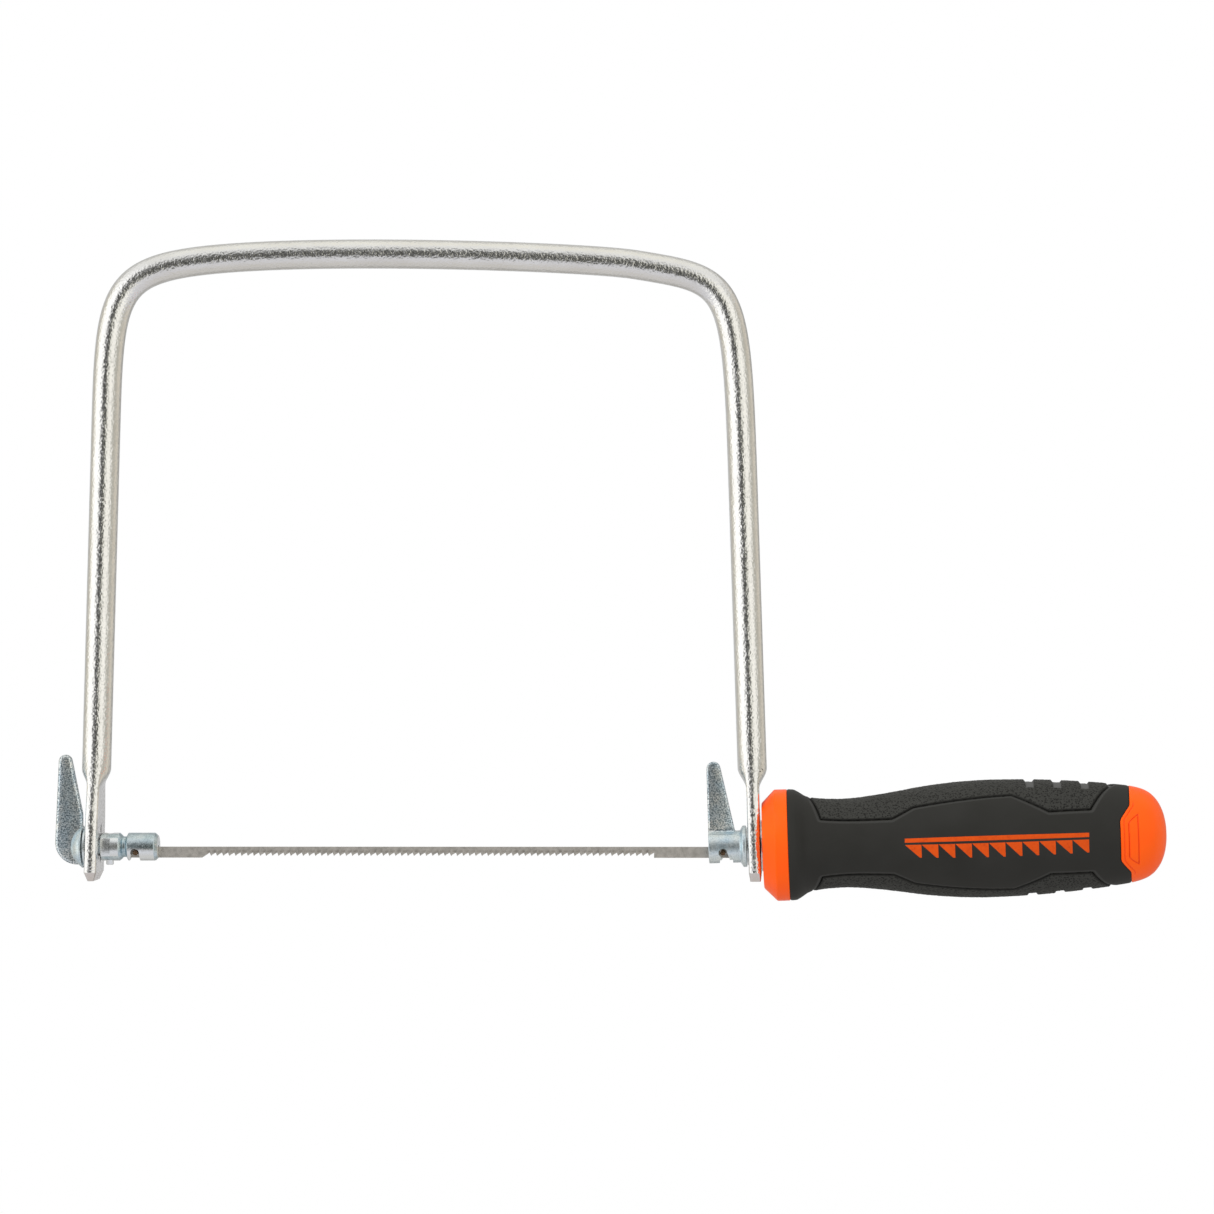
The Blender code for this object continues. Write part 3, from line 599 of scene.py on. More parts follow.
def bow_top_points():
    """The centreline from one leg's top over the bow to the other's."""
    rising = math.pi / 2.0 - FRONT_SPLAY
    falling = -math.pi / 2.0 + REAR_SPLAY
    front_start, front_reach, front_landing = FRONT_CORNER
    rear_start, rear_reach, rear_landing = REAR_CORNER
    front_top = (front_leg_x(front_start), front_start)
    rear_top = (rear_leg_x(rear_start), rear_start)
    front = bezier_stretch((front_top, rising, front_reach),
                           (*FRONT_SHOULDER, front_landing), 45)
    middle = bezier_stretch((*FRONT_SHOULDER, TOP_REACH[0]),
                            (*REAR_SHOULDER, TOP_REACH[1]), 41)
    rear = bezier_stretch((*REAR_SHOULDER, rear_landing),
                          (rear_top, falling, rear_reach), 61)
    return front + middle[1:] + rear[1:]


def make_bow():
    """The bent rod, bored through both legs and slotted through the front one."""
    front = leg_rings(front_leg_x, FRONT_END_THINNING, -1.0)
    rear = leg_rings(rear_leg_x, REAR_END_THINNING, 1.0)
    path = bow_top_points()
    top = []
    for i, point in enumerate(path):
        tangent = (path[min(i + 1, len(path) - 1)] - path[max(i - 1, 0)]).normalized()
        outward = Vector((-tangent.z, 0.0, tangent.x))
        top.append([point + outward * u + Vector((0.0, v, 0.0)) for u, v in round_section()])
    bow = mesh_object("bow_rod", skin(front + top + list(reversed(rear))), BLADE_SPACE)
    reach = 6.0 * MM
    front_hole = rod("hole", (FRONT_LEG_X - reach, 0.0, 0.0), (FRONT_LEG_X + reach, 0.0, 0.0),
                     LEG_HOLE_RADIUS, BLADE_SPACE)
    slot = prism("slot", [mm(-0.7, -3.6), (0.0, -4.5 * MM), mm(0.7, -3.6),
                          mm(0.7, 5.4), (0.0, 6.6 * MM), mm(-0.7, 5.4)],
                 2.0 * reach, Matrix.Translation((FRONT_LEG_X, 0.0, BLADE_AXIS_Z))
                 @ Matrix.Rotation(math.pi / 2.0, 4, "Z"))
    leg = REAR_LEG_X - HANDLE_ORIGIN.x
    rear_hole = rod("hole", (leg - reach, 0.0, 0.0), (leg + reach, 0.0, 0.0),
                    LEG_HOLE_RADIUS, HANDLE_SPACE)
    cut_away(bow, front_hole, slot, rear_hole)
    finish_piece(bow, "frame", NICKEL, "bow_steel", 28.0, "bow_frame")


# ------ front fitting

def rounded_profile(points, radius, steps=4):
    """Round each inner corner of a turned profile."""
    result = [points[0]]
    for before, here, after in zip(points, points[1:], points[2:]):
        a = Vector(before) - Vector(here)
        b = Vector(after) - Vector(here)
        reach = min(radius, a.length * 0.45, b.length * 0.45)
        start = Vector(here) + a.normalized() * reach
        end = Vector(here) + b.normalized() * reach
        for i in range(steps + 1):
            t = i / steps
            point = (1 - t) ** 2 * start + 2 * (1 - t) * t * Vector(here) + t * t * end
            result.append((point.x, point.y))
    result.append(points[-1])
    return result


TINY = 0.02 * MM


def make_front_lever():
    """The casting outside the front leg: shank, flange, dome and fin."""
    face = FRONT_LEG_X - FLAT_THICKNESS / 2.0 - 1.3 * MM
    rim = face - 0.35 * MM
    flange = 5.8 * MM
    dome = 6.6 * MM
    half = math.asin(5.65 * MM / dome)
    profile = [(-83.2 * MM, TINY), mm(-83.2, 2.2), (face, 2.2 * MM), (face, flange),
               (rim, flange)]
    profile = rounded_profile(profile + [(rim - 0.05 * MM, 5.65 * MM)], 0.12 * MM)
    for i in range(1, 24):
        angle = half * (1.0 - i / 23.0)
        profile.append((rim + dome * (math.cos(half) - math.cos(angle)),
                        max(dome * math.sin(angle), TINY)))
    lever = turned("toe_lever", profile, BLADE_SPACE)
    heel = mm(-96.7, 1.15)
    tip = mm(-99.8, 23.45)
    outline = arc(tip, 1.9 * MM, 12.0, 178.0, 16)
    outline += arc(heel, 6.05 * MM, 179.0, 270.0, 22)
    outline += [(face - 0.1 * MM, heel[1] - 6.05 * MM), (face - 0.1 * MM, 9.0 * MM)]
    fin = prism("fin", outline, 2.4 * MM, BLADE_SPACE, bevel=0.85 * MM)
    join(lever, fin)
    finish_piece(lever, "front_holder", ZINC, "zinc_casting", 40.0, "front_lever")


def make_front_spigot():
    """The turned spigot: two flats, bore, lock-pin hole, slit and the blade pin's notch."""
    r = 3.85 * MM
    groove = 2.85 * MM
    x0, x1 = -89.9 * MM, -74.1 * MM
    profile = [(x1, TINY), (x1, r - 0.8 * MM), (x1 - 0.85 * MM, r), (-82.35 * MM, r),
               (-82.9 * MM, groove), (-83.75 * MM, groove), (-84.2 * MM, r - 0.5 * MM),
               (-84.8 * MM, r), (x0 + 0.3 * MM, r), (x0, r - 0.3 * MM), (x0, TINY)]
    spigot = turned("toe_spigot", rounded_profile(profile, 0.12 * MM, 3), BLADE_SPACE)
    cuts = [block("cut", (x0 - 1.0 * MM, low, -6.0 * MM), (-87.1 * MM, high, 6.0 * MM),
                  BLADE_SPACE) for low, high in (mm(-9.0, -3.0), mm(3.0, 9.0))]
    cuts.append(rod("cut", (x0 - 2.0 * MM, 0.0, 0.0), (-82.9 * MM, 0.0, 0.0), 2.5 * MM, BLADE_SPACE))
    cuts.append(rod("cut", mm(-87.6, 0.0, -7.0), mm(-87.6, 0.0, 6.0), 1.3 * MM,
                    BLADE_SPACE))
    cuts.append(block("cut", mm(-82.2, -0.55, -8.0),
                      (x1 + 3.0 * MM, 0.55 * MM, 0.35 * MM), BLADE_SPACE))
    seat = mm(-80.2, -1.6)
    notch = arc(seat, 1.2 * MM, 0.0, 205.0, 24)
    notch += [(seat[0] - 1.9 * MM, -3.5 * MM), (seat[0] - 1.9 * MM, -6.0 * MM),
              (seat[0] + 1.2 * MM, -6.0 * MM)]
    cuts.append(prism("cut", notch, 20.0 * MM, BLADE_SPACE))
    cut_away(spigot, *cuts)
    soften(spigot, 0.1 * MM, 40.0)
    finish_piece(spigot, "front_holder", PLATED, "plated_steel", 40.0, "front_spigot")


def make_cross_pin():
    pin = rod("toe_cross_pin", mm(-87.6, 0.0, -4.95), mm(-87.6, 0.0, 3.6),
              1.05 * MM, BLADE_SPACE, steps=40, chamfer=0.2 * MM)
    finish_piece(pin, "front_holder", PLATED, "plated_steel", 50.0, "front_cross_pin")


def make_spring_washer():
    """A split spring washer: one flattened turn of square wire with a gap."""
    start = FRONT_LEG_X - FLAT_THICKNESS / 2.0 - 1.0 * MM
    inner, outer, thick = 2.6 * MM, 5.2 * MM, 0.66 * MM
    rings = []
    gap = math.radians(9.0)
    count = 72
    for i in range(count + 1):
        angle = math.radians(-60.0) + gap / 2.0 + (2.0 * math.pi - gap) * i / count
        rise = 0.04 * MM * i / count
        ring = []
        for radius, depth in ((inner, 0.0), (outer, 0.0), (outer, thick), (inner, thick)):
            ring.append((start + rise + depth, radius * math.cos(angle), radius * math.sin(angle)))
        rings.append(ring)
    washer = mesh_object("toe_spring_washer", skin(rings), BLADE_SPACE)
    soften(washer, 0.1 * MM, 50.0)
    finish_piece(washer, "front_holder", PLATED, "plated_steel", 40.0, "front_spring_washer")


# ------ blade

PIN_FRONT_X = -80.2 * MM
PIN_REAR_X = HANDLE_ORIGIN.x
TOOTH_START_X = -59.9 * MM
TOOTH_END_X = 62.5 * MM
TOOTH_PITCH = 1.7 * MM


def make_blade():
    """The strip, its teeth set alternately to the two sides."""
    bottom = -3.0 * MM
    root = bottom + 1.38 * MM
    tip = bottom + 0.48 * MM
    left = PIN_FRONT_X - 1.6 * MM
    right = PIN_REAR_X + 1.6 * MM
    half = 0.25 * MM
    lower = [(left, bottom), (TOOTH_START_X - 2.1 * MM, bottom)]
    count = int(round((TOOTH_END_X - TOOTH_START_X) / TOOTH_PITCH))
    for i in range(count):
        x = TOOTH_START_X + i * TOOTH_PITCH
        lower.append((x, root))
        lower.append((x + 0.2 * TOOTH_PITCH, tip))
        lower.append((x + 0.45 * TOOTH_PITCH, tip + 0.38 * MM))
    lower += [(TOOTH_END_X, root), (TOOTH_END_X, bottom), (right, bottom)]
    work = bmesh.new()
    columns = []
    side = 0
    for x, z in lower:
        is_tip = abs(z - tip) < 1e-7
        side += 1 if is_tip else 0
        lean = (0.11 * MM if side % 2 else -0.11 * MM) if is_tip else 0.0
        column = []
        for y in (-half, half):
            column.append(work.verts.new((x, y + lean, z)))
            column.append(work.verts.new((x, y, root + 0.35 * MM)))
            column.append(work.verts.new((x, y, 0.0)))
        columns.append(column)
    for a, b in zip(columns, columns[1:]):
        for i, j in ((0, 1), (1, 2), (3, 4), (4, 5)):
            work.faces.new((a[i], a[j], b[j], b[i]))
        work.faces.new((a[2], a[5], b[5], b[2]))
        work.faces.new((a[0], a[3], b[3], b[0]))
    for column in (columns[0], columns[-1]):
        work.faces.new((column[0], column[1], column[2], column[5], column[4], column[3]))
    bmesh.ops.remove_doubles(work, verts=work.verts, dist=1e-7)
    blade = mesh_object("toothed_blade", work, BLADE_SPACE)
    for x in (PIN_FRONT_X, PIN_REAR_X):
        cut_away(blade, rod("cut", (x, -3.0 * MM, -1.5 * MM), (x, 3.0 * MM, -1.5 * MM), 0.8 * MM,
                            BLADE_SPACE, 32))
    finish_piece(blade, "blade", STRIP, "blade_steel", 25.0, "blade")
    for name, x in (("blade_pin_front", PIN_FRONT_X), ("blade_pin_rear", PIN_REAR_X)):
        pin = rod("browned_" + name, (x, -2.5 * MM, -1.5 * MM), (x, 2.5 * MM, -1.5 * MM),
                  0.75 * MM, BLADE_SPACE, 32, chamfer=0.15 * MM)
        finish_piece(pin, "blade", BROWNED, "pin_steel", 50.0, name)


# ------ rear fitting

def make_rear_holder():
    """The casting inside the rear leg: barrel, flange and fin, slit and notched."""
    r = 4.4 * MM
    near = -3.9 * MM
    face = 6.45 * MM
    flange = face - 1.0 * MM
    rim = 5.65 * MM
    profile = [(face, TINY), (face, rim), (flange, rim), (flange - 0.7 * MM, r),
               (near, r), (near, TINY)]
    holder = turned("heel_holder", rounded_profile(profile, 0.25 * MM), HANDLE_SPACE)
    tip = mm(-1.9, 21.45)
    outline = arc(tip, 1.9 * MM, 12.0, 180.0, 16)
    outline += [(near, 2.0 * MM), mm(3.85, 2.0)]
    fin = prism("fin", outline, 2.4 * MM, HANDLE_SPACE, bevel=0.5 * MM)
    join(holder, fin)
    web = [mm(-2.7, 3.0), mm(2.7, 3.0)]
    web += arc(mm(2.7, 5.05), 1.5 * MM, 270.0, 180.0, 8)
    web += arc(mm(-2.7, 5.05), 1.5 * MM, 0.0, -90.0, 8)
    turn = Matrix.Translation((-0.35 * MM, 0.0, 0.0)) @ Matrix.Rotation(math.pi / 2.0, 4, "Z")
    join(holder, prism("web", web, 7.0 * MM, HANDLE_SPACE @ turn))
    cuts = [block("cut", (near - 3.0 * MM, -0.55 * MM, -8.0 * MM),
                  mm(3.7, 0.55, 0.35), HANDLE_SPACE),
            block("cut", mm(-1.05, -2.7, -8.0),
                  mm(2.65, 2.7, -0.45), HANDLE_SPACE),
            rod("cut", (4.3 * MM, 0.0, 0.0), (9.0 * MM, 0.0, 0.0), 2.7 * MM, HANDLE_SPACE)]
    seat = (0.0, -1.45 * MM)
    notch = arc(seat, 1.2 * MM, 0.0, 200.0, 24)
    notch += [mm(-0.35, -2.9), mm(-0.35, -6.0), mm(2.6, -6.0)]
    cuts.append(prism("cut", notch, 20.0 * MM, HANDLE_SPACE))
    cut_away(holder, *cuts)
    finish_piece(holder, "rear_holder", ZINC, "zinc_casting", 40.0, "rear_holder")


def make_tension_screw():
    """Threaded rod: one helical skin, its crests at the CAD rod's radius."""
    start, end, pitch = 4.6 * MM, 49.6 * MM, 0.8 * MM
    crest, depth = 2.4 * MM, 0.42 * MM
    around, per_turn = 24, 6
    rings = []
    count = int((end - start) / pitch * per_turn)
    for i in range(count + 1):
        along = start + (end - start) * i / count
        ease = min(1.0, (end - along) / (1.2 * MM), (along - start) / (3.0 * MM))
        ring = []
        for j in range(around):
            turn = j / around
            phase = (along / pitch - turn) % 1.0
            dip = 1.0 - abs(2.0 * phase - 1.0)
            radius = crest - depth * min(1.0, dip * 1.15) * max(ease, 0.0)
            angle = 2.0 * math.pi * turn
            ring.append((along, radius * math.cos(angle), radius * math.sin(angle)))
        rings.append(ring)
    screw = mesh_object("heel_tension_screw", skin(rings), HANDLE_SPACE)
    finish_piece(screw, "rear_holder", PLATED, "plated_steel", 50.0, "tension_screw")


# ------ handle

COLLAR_FACE = 10.9 * MM
COLLAR_END = 7.0
ROLL = math.radians(-5.0)
GRIP_PROFILE = [(7.0, 15.2), (8.6, 15.1), (10.0, 14.45), (11.9, 13.25), (13.2, 12.8),
                (15.5, 12.4), (18.5, 12.15), (22.0, 12.05), (26.0, 12.25), (31.0, 12.8),
                (37.0, 13.65), (43.0, 14.6), (49.0, 15.3), (55.0, 15.75), (61.6, 15.95),
                (68.0, 15.85), (75.0, 15.6), (82.0, 15.15), (89.6, 14.5), (94.0, 14.0),
                (98.8, 13.4), (101.1, 12.95), (103.3, 12.3), (105.5, 11.1), (107.5, 8.9),
                (108.8, 6.2), (109.55, 2.9), (109.75, 0.0)]
PANEL_EDGE = [(13.2, 90.0), (16.1, 41.3), (35.3, 35.8), (41.1, 48.0), (67.7, 55.4),
              (77.6, 34.4), (88.7, 37.0), (95.7, 90.0)]
CAP_EDGE = [(96.5, 0.0), (96.5, 24.0), (99.3, 43.0), (99.9, 90.0)]
NOTCH_START = 71.5
NOTCH_PERIOD = 7.45
NOTCH_WIDTH = 2.8
NOTCH_DEPTH = 0.62
NOTCH_ANGLE = 67.0
GROOVE_DEPTH = 0.42
STIPPLE_HEIGHT = 0.10
LIP_DROP = 0.18
SLEEVE_WALL = 2.4
TUBE_DROP = 2.7
CAP_LINE_DEPTH = 0.26
PRINT_RISE = 0.03


def smooth_through(knots, where):
    """A cubic through the knots that never overshoots between them."""
    xs = np.array([k[0] for k in knots])
    ys = np.array([k[1] for k in knots])
    slopes = np.diff(ys) / np.diff(xs)
    tangents = np.zeros(len(xs))
    tangents[0], tangents[-1] = slopes[0], slopes[-1]
    same = slopes[:-1] * slopes[1:] > 0.0
    both = np.where(same, slopes[:-1] + slopes[1:], 1.0)
    tangents[1:-1] = np.where(same, 2.0 * slopes[:-1] * slopes[1:] / both, 0.0)
    i = np.clip(np.searchsorted(xs, where, side="right") - 1, 0, len(xs) - 2)
    span = xs[i + 1] - xs[i]
    t = np.clip((where - xs[i]) / span, 0.0, 1.0)
    return ((2 * t ** 3 - 3 * t ** 2 + 1) * ys[i] + (t ** 3 - 2 * t ** 2 + t) * span * tangents[i]
            + (-2 * t ** 3 + 3 * t ** 2) * ys[i + 1] + (t ** 3 - t ** 2) * span * tangents[i + 1])


def fold(theta):
    """Angle away from the nearer smooth side: 0 at its middle, 90 at top or bottom."""
    wrapped = np.abs((theta + 180.0) % 360.0 - 180.0)
    return np.minimum(wrapped, 180.0 - wrapped)


def panel_distance(s, alpha, radius):
    """Signed distance in mm to the panel's edge: negative inside the textured panel."""
    scale = np.pi / 180.0 * radius
    best = np.full(np.broadcast(s, alpha).shape, 1e9)
    for (s0, a0), (s1, a1) in zip(PANEL_EDGE, PANEL_EDGE[1:]):
        dx, dy = s1 - s0, (a1 - a0) * scale
        px, py = s - s0, (alpha - a0) * scale
        t = np.clip((px * dx + py * dy) / (dx * dx + dy * dy), 0.0, 1.0)
        best = np.minimum(best, np.hypot(px - t * dx, py - t * dy))
    edge_s = np.array([p[0] for p in PANEL_EDGE])
    edge_a = np.array([p[1] for p in PANEL_EDGE])
    inside = (alpha > np.interp(s, edge_s, edge_a)) & (s > edge_s[0]) & (s < edge_s[-1])
    return np.where(inside, -best, best)


def flattening(s):
    """How deep the section is for its height: round at the collar, a little less behind."""
    return 1.0 - 0.045 * ease(s, 8.0, 18.0)


def grip_surface(s, theta):
    """Radius in mm, then weights for the stipple, for the lighter notches with a painted highlight on the
    groove's facet, and for painted shade in the grooves, at stations s and angles theta.
    """
    radius = smooth_through(GRIP_PROFILE, s)
    alpha = fold(theta)
    d = panel_distance(s, alpha, radius)
    groove_line = np.clip(1.0 - np.abs(d) / 0.29, 0.0, 1.0)
    facet = np.clip(1.0 - (d - 0.15) / 1.1, 0.0, 1.0) * (d > 0.0)
    ends = ease(s, 12.4, 13.4) * (1.0 - ease(s, 95.6, 96.4))
    panel = 1.0 - ease(d, -0.50, -0.15)
    outer = radius - GROOVE_DEPTH * groove_line - 0.34 * facet * ends + 0.05 * panel
    notch = np.zeros_like(outer)
    for i in range(4):
        middle = NOTCH_START + NOTCH_PERIOD * i + NOTCH_WIDTH / 2.0
        inside = 1.0 - np.clip((np.abs(s - middle) - 0.95) / 0.45, 0.0, 1.0)
        notch = np.maximum(notch, inside)
    notch = notch * np.clip((alpha - NOTCH_ANGLE) / 2.5, 0.0, 1.0) * (d < 0.2)
    outer = outer - NOTCH_DEPTH * notch
    # A lighter colour for the finger notches, and a painted highlight on the facet band just outside the
    # groove.
    bevel = ease(d, 0.35, 0.55) * (1.0 - ease(d, 1.0, 1.35)) * ends
    notches_and_facet_sheen = np.maximum(ease(notch, 0.55, 0.95), 0.24 * bevel)
    stipple = panel * (1.0 - ease(notch, 0.1, 0.5))
    return outer, stipple, notches_and_facet_sheen, groove_line


def grip_ring(s, theta, radius):
    """Points along the handle's axis for stations, angles and radii in mm."""
    angle = np.radians(theta)
    side = radius * np.cos(angle) * flattening(s)
    up = radius * np.sin(angle)
    y = -(side * math.cos(ROLL) - up * math.sin(ROLL))
    z = side * math.sin(ROLL) + up * math.cos(ROLL)
    return list(zip(COLLAR_FACE + s * MM, y * MM, z * MM))


def cap_edge(theta):
    """Where the black sleeve ends, in mm behind the collar's face."""
    alpha = fold(theta)
    edge = np.interp(alpha, [p[1] for p in CAP_EDGE], [p[0] for p in CAP_EDGE])
    for shift in (-2.0, 2.0):
        edge = edge + np.interp(np.abs(alpha + shift), [p[1] for p in CAP_EDGE],
                                [p[0] for p in CAP_EDGE])
    return edge / 3.0


def make_grip_sleeve():
    """The overmould, with grooves, stippled panels and finger notches as real shape."""
    around = 480
    along = 400
    theta = np.arange(around) * 360.0 / around
    front = COLLAR_END + 0.05
    share = np.linspace(0.0, 1.0, along)[:, None]
    end = cap_edge(theta)[None, :] - 0.06
    s = front + (end - front) * share
    angles = np.broadcast_to(theta[None, :], s.shape)
    radius, stipple, notches_and_facet_sheen, groove_shade = grip_surface(s, angles)
    grain = np.zeros_like(radius)
    rows, columns = np.nonzero(stipple > 0.01)
    for i, j in zip(rows, columns):
        where = Vector((s[i, j], math.radians(theta[j]) * radius[i, j], 7.0)) / 0.62
        grain[i, j] = noise.noise(where)
    radius = radius + STIPPLE_HEIGHT * grain * stipple
    lip = ease(share, 0.0, 0.004) * ease(1.0 - share, 0.0, 0.004)
    radius = radius - LIP_DROP * (1.0 - lip)
    rings = [grip_ring(s[i], theta, radius[i]) for i in range(along)]
    for share_back in np.linspace(1.0, 0.0, 24):
        station = front + (end[0] - front) * share_back
        inner = smooth_through(GRIP_PROFILE, station) - SLEEVE_WALL
        rings.append(grip_ring(station, theta, inner))
    sleeve = mesh_object("overmould_sleeve", skin(rings, closed_loop=True), HANDLE_SPACE)
    # The groove weight written here paints shade into the grooves.
    for name, weight in (("stipple", stipple), ("notches_and_facet_sheen", notches_and_facet_sheen), ("groove_shade", groove_shade)):
        values = np.zeros(len(sleeve.data.vertices))
        values[:along * around] = weight.ravel()
        layer = sleeve.data.attributes.new(name, "FLOAT", "POINT")
        layer.data.foreach_set("value", values)
    finish_piece(sleeve, "handle", BLACK, "soft_grip", 60.0, "grip_sleeve")


def cap_relief(s, theta):
    """Share of the full depth of the lines round the cap's plain panel and along its edge."""
    alpha = (theta + 180.0) % 360.0 - 180.0
    height = np.where(np.abs(alpha) > 90.0, 180.0 - np.abs(alpha), np.abs(alpha))
    half = np.interp(s, [98.7, 99.7, 101.5], [20.5, 25.5, 32.8])
    border = np.minimum.reduce([s - 98.7, 101.5 - s, (half - height) * 0.22])
    line = np.clip(1.0 - np.abs(border - 0.12) / 0.26, 0.0, 1.0)
    contour = np.clip(1.0 - np.abs(s - cap_edge(theta) - 1.05) / 0.24, 0.0, 1.0)
    contour = contour * (1.0 - ease(height, 44.0, 52.0))
    return np.maximum(line, 0.7 * contour)


def make_handle_core():
    """One orange moulding: collar, hidden tube, rear cap with its sunk panel."""
    around = 360
    theta = np.arange(around) * 360.0 / around
    collar = rounded_profile([(0.0, 4.9), (0.0, 11.6), (3.55, 15.2), (COLLAR_END, 15.2),
                              (COLLAR_END, 12.4)], 0.35, 5)
    rings = [grip_ring(np.full(around, s), theta, radius) for s, radius in collar]
    for share in np.linspace(0.04, 0.985, 22):
        s = COLLAR_END + (cap_edge(theta) - COLLAR_END) * share
        rings.append(grip_ring(s, theta, smooth_through(GRIP_PROFILE, s) - TUBE_DROP))
    edge = cap_edge(theta) + 0.06
    last = 109.72
    lines = []
    steps = 110
    for i in range(steps + 1):
        share = i / steps
        s = edge + (last - edge) * math.sin(math.pi / 2.0 * share)
        relief = cap_relief(s, theta) * min(1.0, i / 4.0)
        radius = smooth_through(GRIP_PROFILE, s) - CAP_LINE_DEPTH * relief
        if i == 0:
            rings.append(grip_ring(s, theta, radius - TUBE_DROP))
            plain_rings = len(rings)
        lines.append(relief)
        rings.append(grip_ring(s, theta, radius - 0.12 * (1.0 - min(1.0, i / 2.0))))
    core = mesh_object("two_ended_core", skin(rings), HANDLE_SPACE)
    values = np.zeros(len(core.data.vertices))
    drawn = np.concatenate(lines)
    values[plain_rings * around:plain_rings * around + len(drawn)] = drawn
    # This weight paints shade into the cap's sunk lines.
    core.data.attributes.new("groove_shade", "FLOAT", "POINT").data.foreach_set("value", values)
    nut_room = rod("cut", (0.0, 0.0, 0.0), (27.5 * MM, 0.0, 0.0), 4.8 * MM, HANDLE_SPACE)
    bore = rod("cut", (20.0 * MM, 0.0, 0.0), (53.0 * MM, 0.0, 0.0), 2.8 * MM, HANDLE_SPACE)
    cut_away(core, nut_room, bore)
    finish_piece(core, "handle", ORANGE, "hard_plastic", 40.0, "handle_core")


def motif_patch(work, corners, columns=6, rows=3):
    """A four-cornered patch of print, laid just over the grip's surface.

    Corners are (s in mm, angle in degrees), going round.
    """
    a, b, c, d = (np.array(corner) for corner in corners)
    grid = []
    for i in range(columns + 1):
        u = i / columns
        line = []
        for j in range(rows + 1):
            v = j / rows
            s, theta = (a * (1 - u) + b * u) * (1 - v) + (d * (1 - u) + c * u) * v
            radius = grip_surface(np.array([s]), np.array([theta]))[0] + PRINT_RISE
            line.append(work.verts.new(*grip_ring(np.array([s]), np.array([theta]), radius)))
        grid.append(line)
    for i in range(columns):
        for j in range(rows):
            work.faces.new((grid[i][j], grid[i + 1][j], grid[i + 1][j + 1], grid[i][j + 1]))


def make_grip_motif():
    """A plain row of slanted saw teeth under a bar, printed on the grip's side."""
    work = bmesh.new()
    start, end, count = 38.5, 88.0, 11
    pitch = (end - start) / count
    for i in range(count):
        x = start + i * pitch
        motif_patch(work, [(x, 3.5), (x + pitch * 0.98, 3.5), (x + pitch * 0.98, -10.5),
                           (x + pitch * 0.86, -10.5)])
    motif_patch(work, [(start, 10.5), (end, 10.5), (end, 6.0), (start, 6.0)], 60, 2)
    motif = mesh_object("grip_motif", work, HANDLE_SPACE)
    finish_piece(motif, "handle", INK, "hard_plastic", 60.0)


# ------ CAD nodes that stay

def dress_hidden_nodes():
    """Plate the washers and the nut, which are drawn as packed."""
    for name in ("rear_wear_washer", "handle_thrust_washer", "handle_nut"):
        node = frame["nodes"][name]
        node.data.materials.clear()
        node.data.materials.append(PLATED)


# ------ stage

def make_floor():
    """A plain pale floor that fades into the surroundings and is open from below."""
    reach = 30.0
    drop = 0.16
    work = bmesh.new()
    bmesh.ops.create_grid(work, x_segments=1, y_segments=1, size=reach)
    floor = mesh_object("floor", work, Matrix.Translation((0.0, 0.0, cad_low.z - drop)))
    finish = Finish("pale_floor", 0.0, 0.9, (0.86, 0.86, 0.86))
    glow = finish.node("ShaderNodeEmission", {"Color": (1.0, 1.0, 1.0)}).outputs["Emission"]
    away = finish.node("ShaderNodeVectorMath", {0: finish.place}, operation="LENGTH").outputs["Value"]
    fade = finish.span(away, 0.15, 0.75, 0.0, 1.0, "SMOOTHSTEP")
    above = finish.blend(fade, finish.shader.outputs["BSDF"], glow)
    below = finish.node("ShaderNodeNewGeometry", {}).outputs["Backfacing"]
    clear = finish.node("ShaderNodeBsdfTransparent", {}).outputs["BSDF"]
    finish.links.new(finish.blend(below, above, clear), finish.nodes["Material Output"].inputs["Surface"])
    floor.data.materials.append(finish.material)
    floor.visible_glossy = False
    floor.visible_diffuse = False


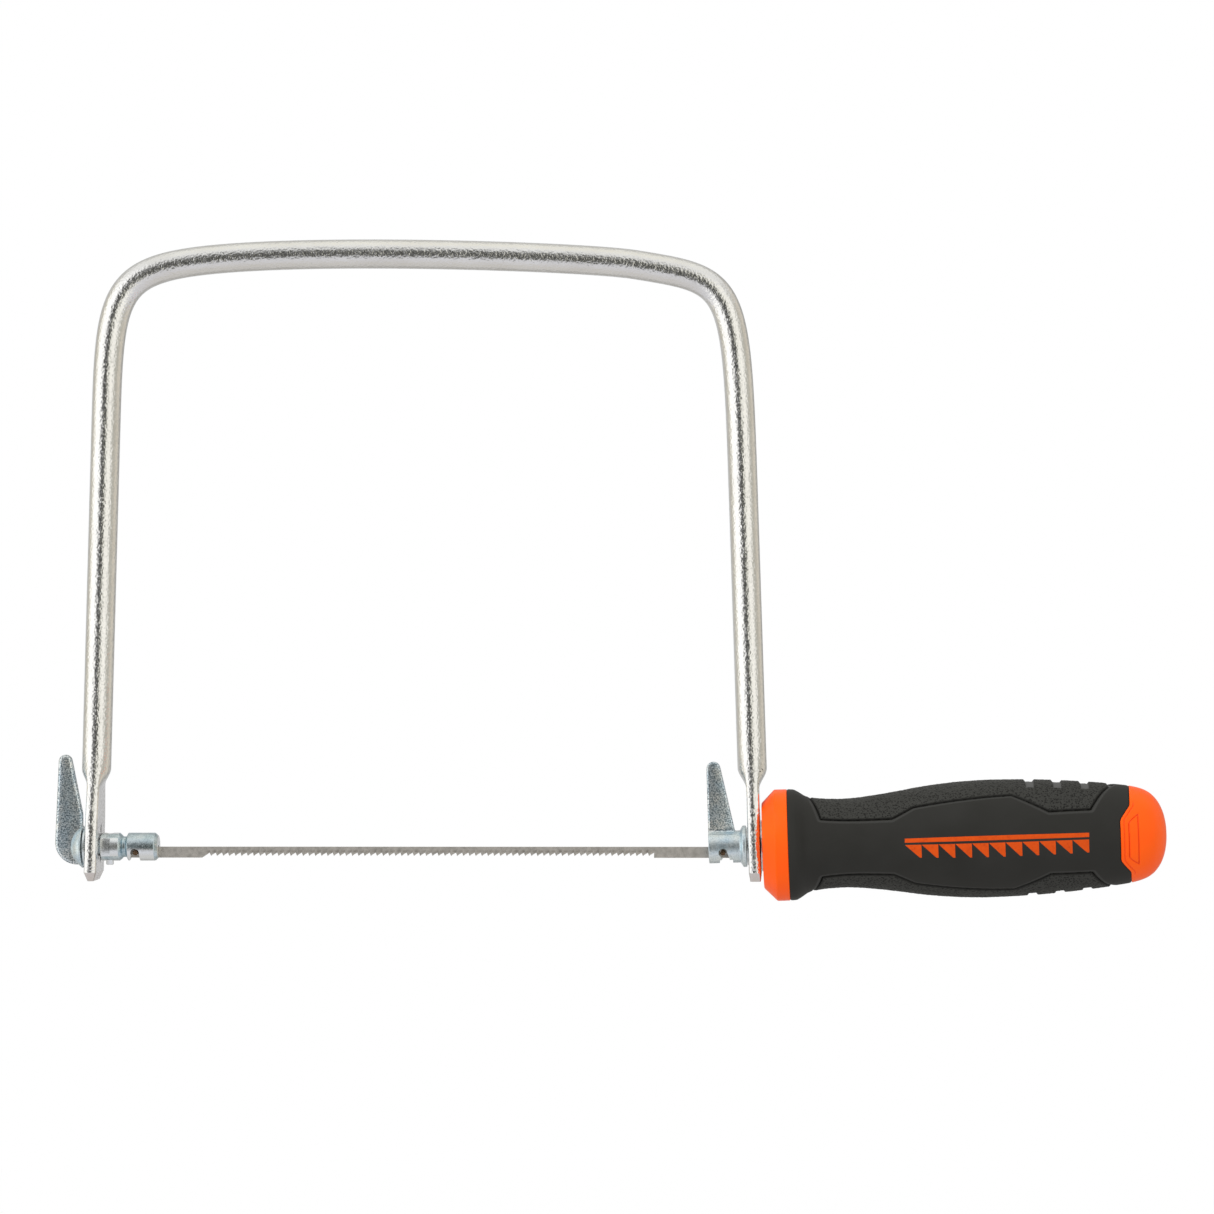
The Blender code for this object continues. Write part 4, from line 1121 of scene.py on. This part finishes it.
def make_world():
    """White surroundings to look at; a studio of soft greys to light and reflect."""
    world = bpy.data.worlds.new("studio")
    bpy.context.scene.world = world
    world.use_nodes = True
    graph = Graph(world.node_tree)
    graph.nodes.clear()

    def step(value, low, high, out_low=0.0, out_high=1.0):
        return graph.span(value, low, high, out_low, out_high, "SMOOTHSTEP")

    def circled(value, reach, stops):
        """Colours at angles from -reach to reach degrees."""
        share = graph.span(value, -reach, reach, 0.0, 1.0)
        return graph.ramp(share, [(0.5 + angle / (2.0 * reach), color) for angle, color in stops])

    def background(color, strength):
        inputs = {"Color": color, "Strength": strength}
        return graph.node("ShaderNodeBackground", inputs).outputs["Background"]

    place = graph.node("ShaderNodeTexCoord", {}).outputs["Generated"]
    x, y, z = graph.node("ShaderNodeSeparateXYZ", {"Vector": place}).outputs
    degrees = 180.0 / math.pi
    turn = graph.math("ARCTAN2", x, graph.math("MULTIPLY", y, -1.0))
    azimuth = graph.math("MULTIPLY", turn, degrees)
    height = graph.math("MULTIPLY", graph.math("ARCSINE", z), degrees)

    around = circled(azimuth, 180.0, [
        (-179.0, (0.55, 0.55, 0.56)), (-135.0, (0.46, 0.46, 0.45)), (-114.0, (0.42, 0.40, 0.36)),
        (-100.0, (0.55, 0.53, 0.46)), (-88.0, (0.84, 0.82, 0.75)), (-78.0, (0.98, 0.97, 0.95)),
        (-50.0, (1.0, 1.0, 0.99)), (-39.0, (0.95, 0.95, 0.95)), (-31.0, (0.66, 0.66, 0.65)),
        (-24.0, (0.34, 0.34, 0.34)), (-17.0, (0.12, 0.12, 0.12)), (-10.0, (0.055, 0.055, 0.052)),
        (-3.0, (0.065, 0.065, 0.06)), (4.0, (0.22, 0.22, 0.20)), (12.0, (0.54, 0.53, 0.48)),
        (21.0, (0.76, 0.75, 0.70)), (36.0, (0.87, 0.855, 0.80)), (47.0, (0.83, 0.815, 0.77)),
        (60.0, (0.62, 0.61, 0.57)), (75.0, (0.38, 0.37, 0.33)), (94.0, (0.47, 0.44, 0.38)),
        (112.0, (0.58, 0.535, 0.46)), (128.0, (0.47, 0.45, 0.41)), (145.0, (0.28, 0.275, 0.26)),
        (179.0, (0.55, 0.55, 0.56))])
    over = circled(height, 90.0, [
        (-89.0, (0.50, 0.485, 0.455)), (-62.0, (0.54, 0.53, 0.535)), (-40.0, (0.57, 0.57, 0.595)),
        (40.0, (0.66, 0.665, 0.67)), (60.0, (0.70, 0.70, 0.69)), (78.0, (0.735, 0.73, 0.68)),
        (89.0, (0.72, 0.695, 0.62))])
    ends = graph.math("MAXIMUM", step(height, 15.0, 60.0), step(height, -11.0, -39.0))
    dimmed = graph.mix(step(y, 0.15, 0.75), over, (0.62, 0.61, 0.56), "MULTIPLY")
    studio = background(graph.mix(ends, around, dimmed), 1.22)
    white = background((1.0, 1.0, 1.0), 1.0)
    soft = background((1.0, 1.0, 1.0), step(z, -0.9, 0.9, 0.86, 1.08))
    ray = graph.node("ShaderNodeLightPath", {}).outputs
    filled = graph.blend(ray["Is Diffuse Ray"], studio, soft)
    seen = graph.blend(ray["Is Camera Ray"], filled, white)
    graph.node("ShaderNodeOutputWorld", {"Surface": seen})


def make_light(name, place, aim, size, power):
    """A softbox of this width and height in metres, seen only by what it lights."""
    data = bpy.data.lights.new(name, "AREA")
    data.shape = "RECTANGLE"
    data.size, data.size_y = size
    data.energy = power
    light = bpy.data.objects.new(name, data)
    bpy.context.scene.collection.objects.link(light)
    light.location = place
    light.rotation_euler = (Vector(aim) - Vector(place)).to_track_quat("-Z", "Y").to_euler()
    light.visible_camera = False
    light.visible_glossy = False


def make_camera():
    """The view: from 1.15 m, level, a little to the right of the middle, hardly rolled."""
    distance = 1.150
    side = 0.110
    aim = 0.04976
    above_blade = 0.0657
    roll = -0.00255
    data = bpy.data.cameras.new("camera")
    data.sensor_width = 36.0
    data.lens = 124.66
    data.clip_start = 0.05
    data.clip_end = 100.0
    camera = bpy.data.objects.new("camera", data)
    bpy.context.scene.collection.objects.link(camera)
    camera.location = (side, -distance, BLADE_AXIS_Z + above_blade)
    yaw = math.atan((side - aim) / distance)
    level = Matrix.Rotation(yaw, 4, "Z") @ Matrix.Rotation(math.pi / 2.0, 4, "X")
    camera.rotation_euler = (level @ Matrix.Rotation(roll, 4, "Z")).to_euler()
    bpy.context.scene.camera = camera


make_camera()
make_world()
make_floor()
make_light("top_softbox", (-0.35, -0.55, 0.75), (0.05, 0.0, -0.1), (0.9, 0.6), 4.0)
make_light("side_softbox", (-0.8, -0.9, 0.1), (0.0, 0.0, -0.1), (0.5, 0.9), 3.0)
bpy.context.scene.view_settings.view_transform = "Standard"

make_bow()
make_front_lever()
make_front_spigot()
make_cross_pin()
make_spring_washer()
make_blade()
make_rear_holder()
make_tension_screw()
make_handle_core()
make_grip_sleeve()
make_grip_motif()
dress_hidden_nodes()
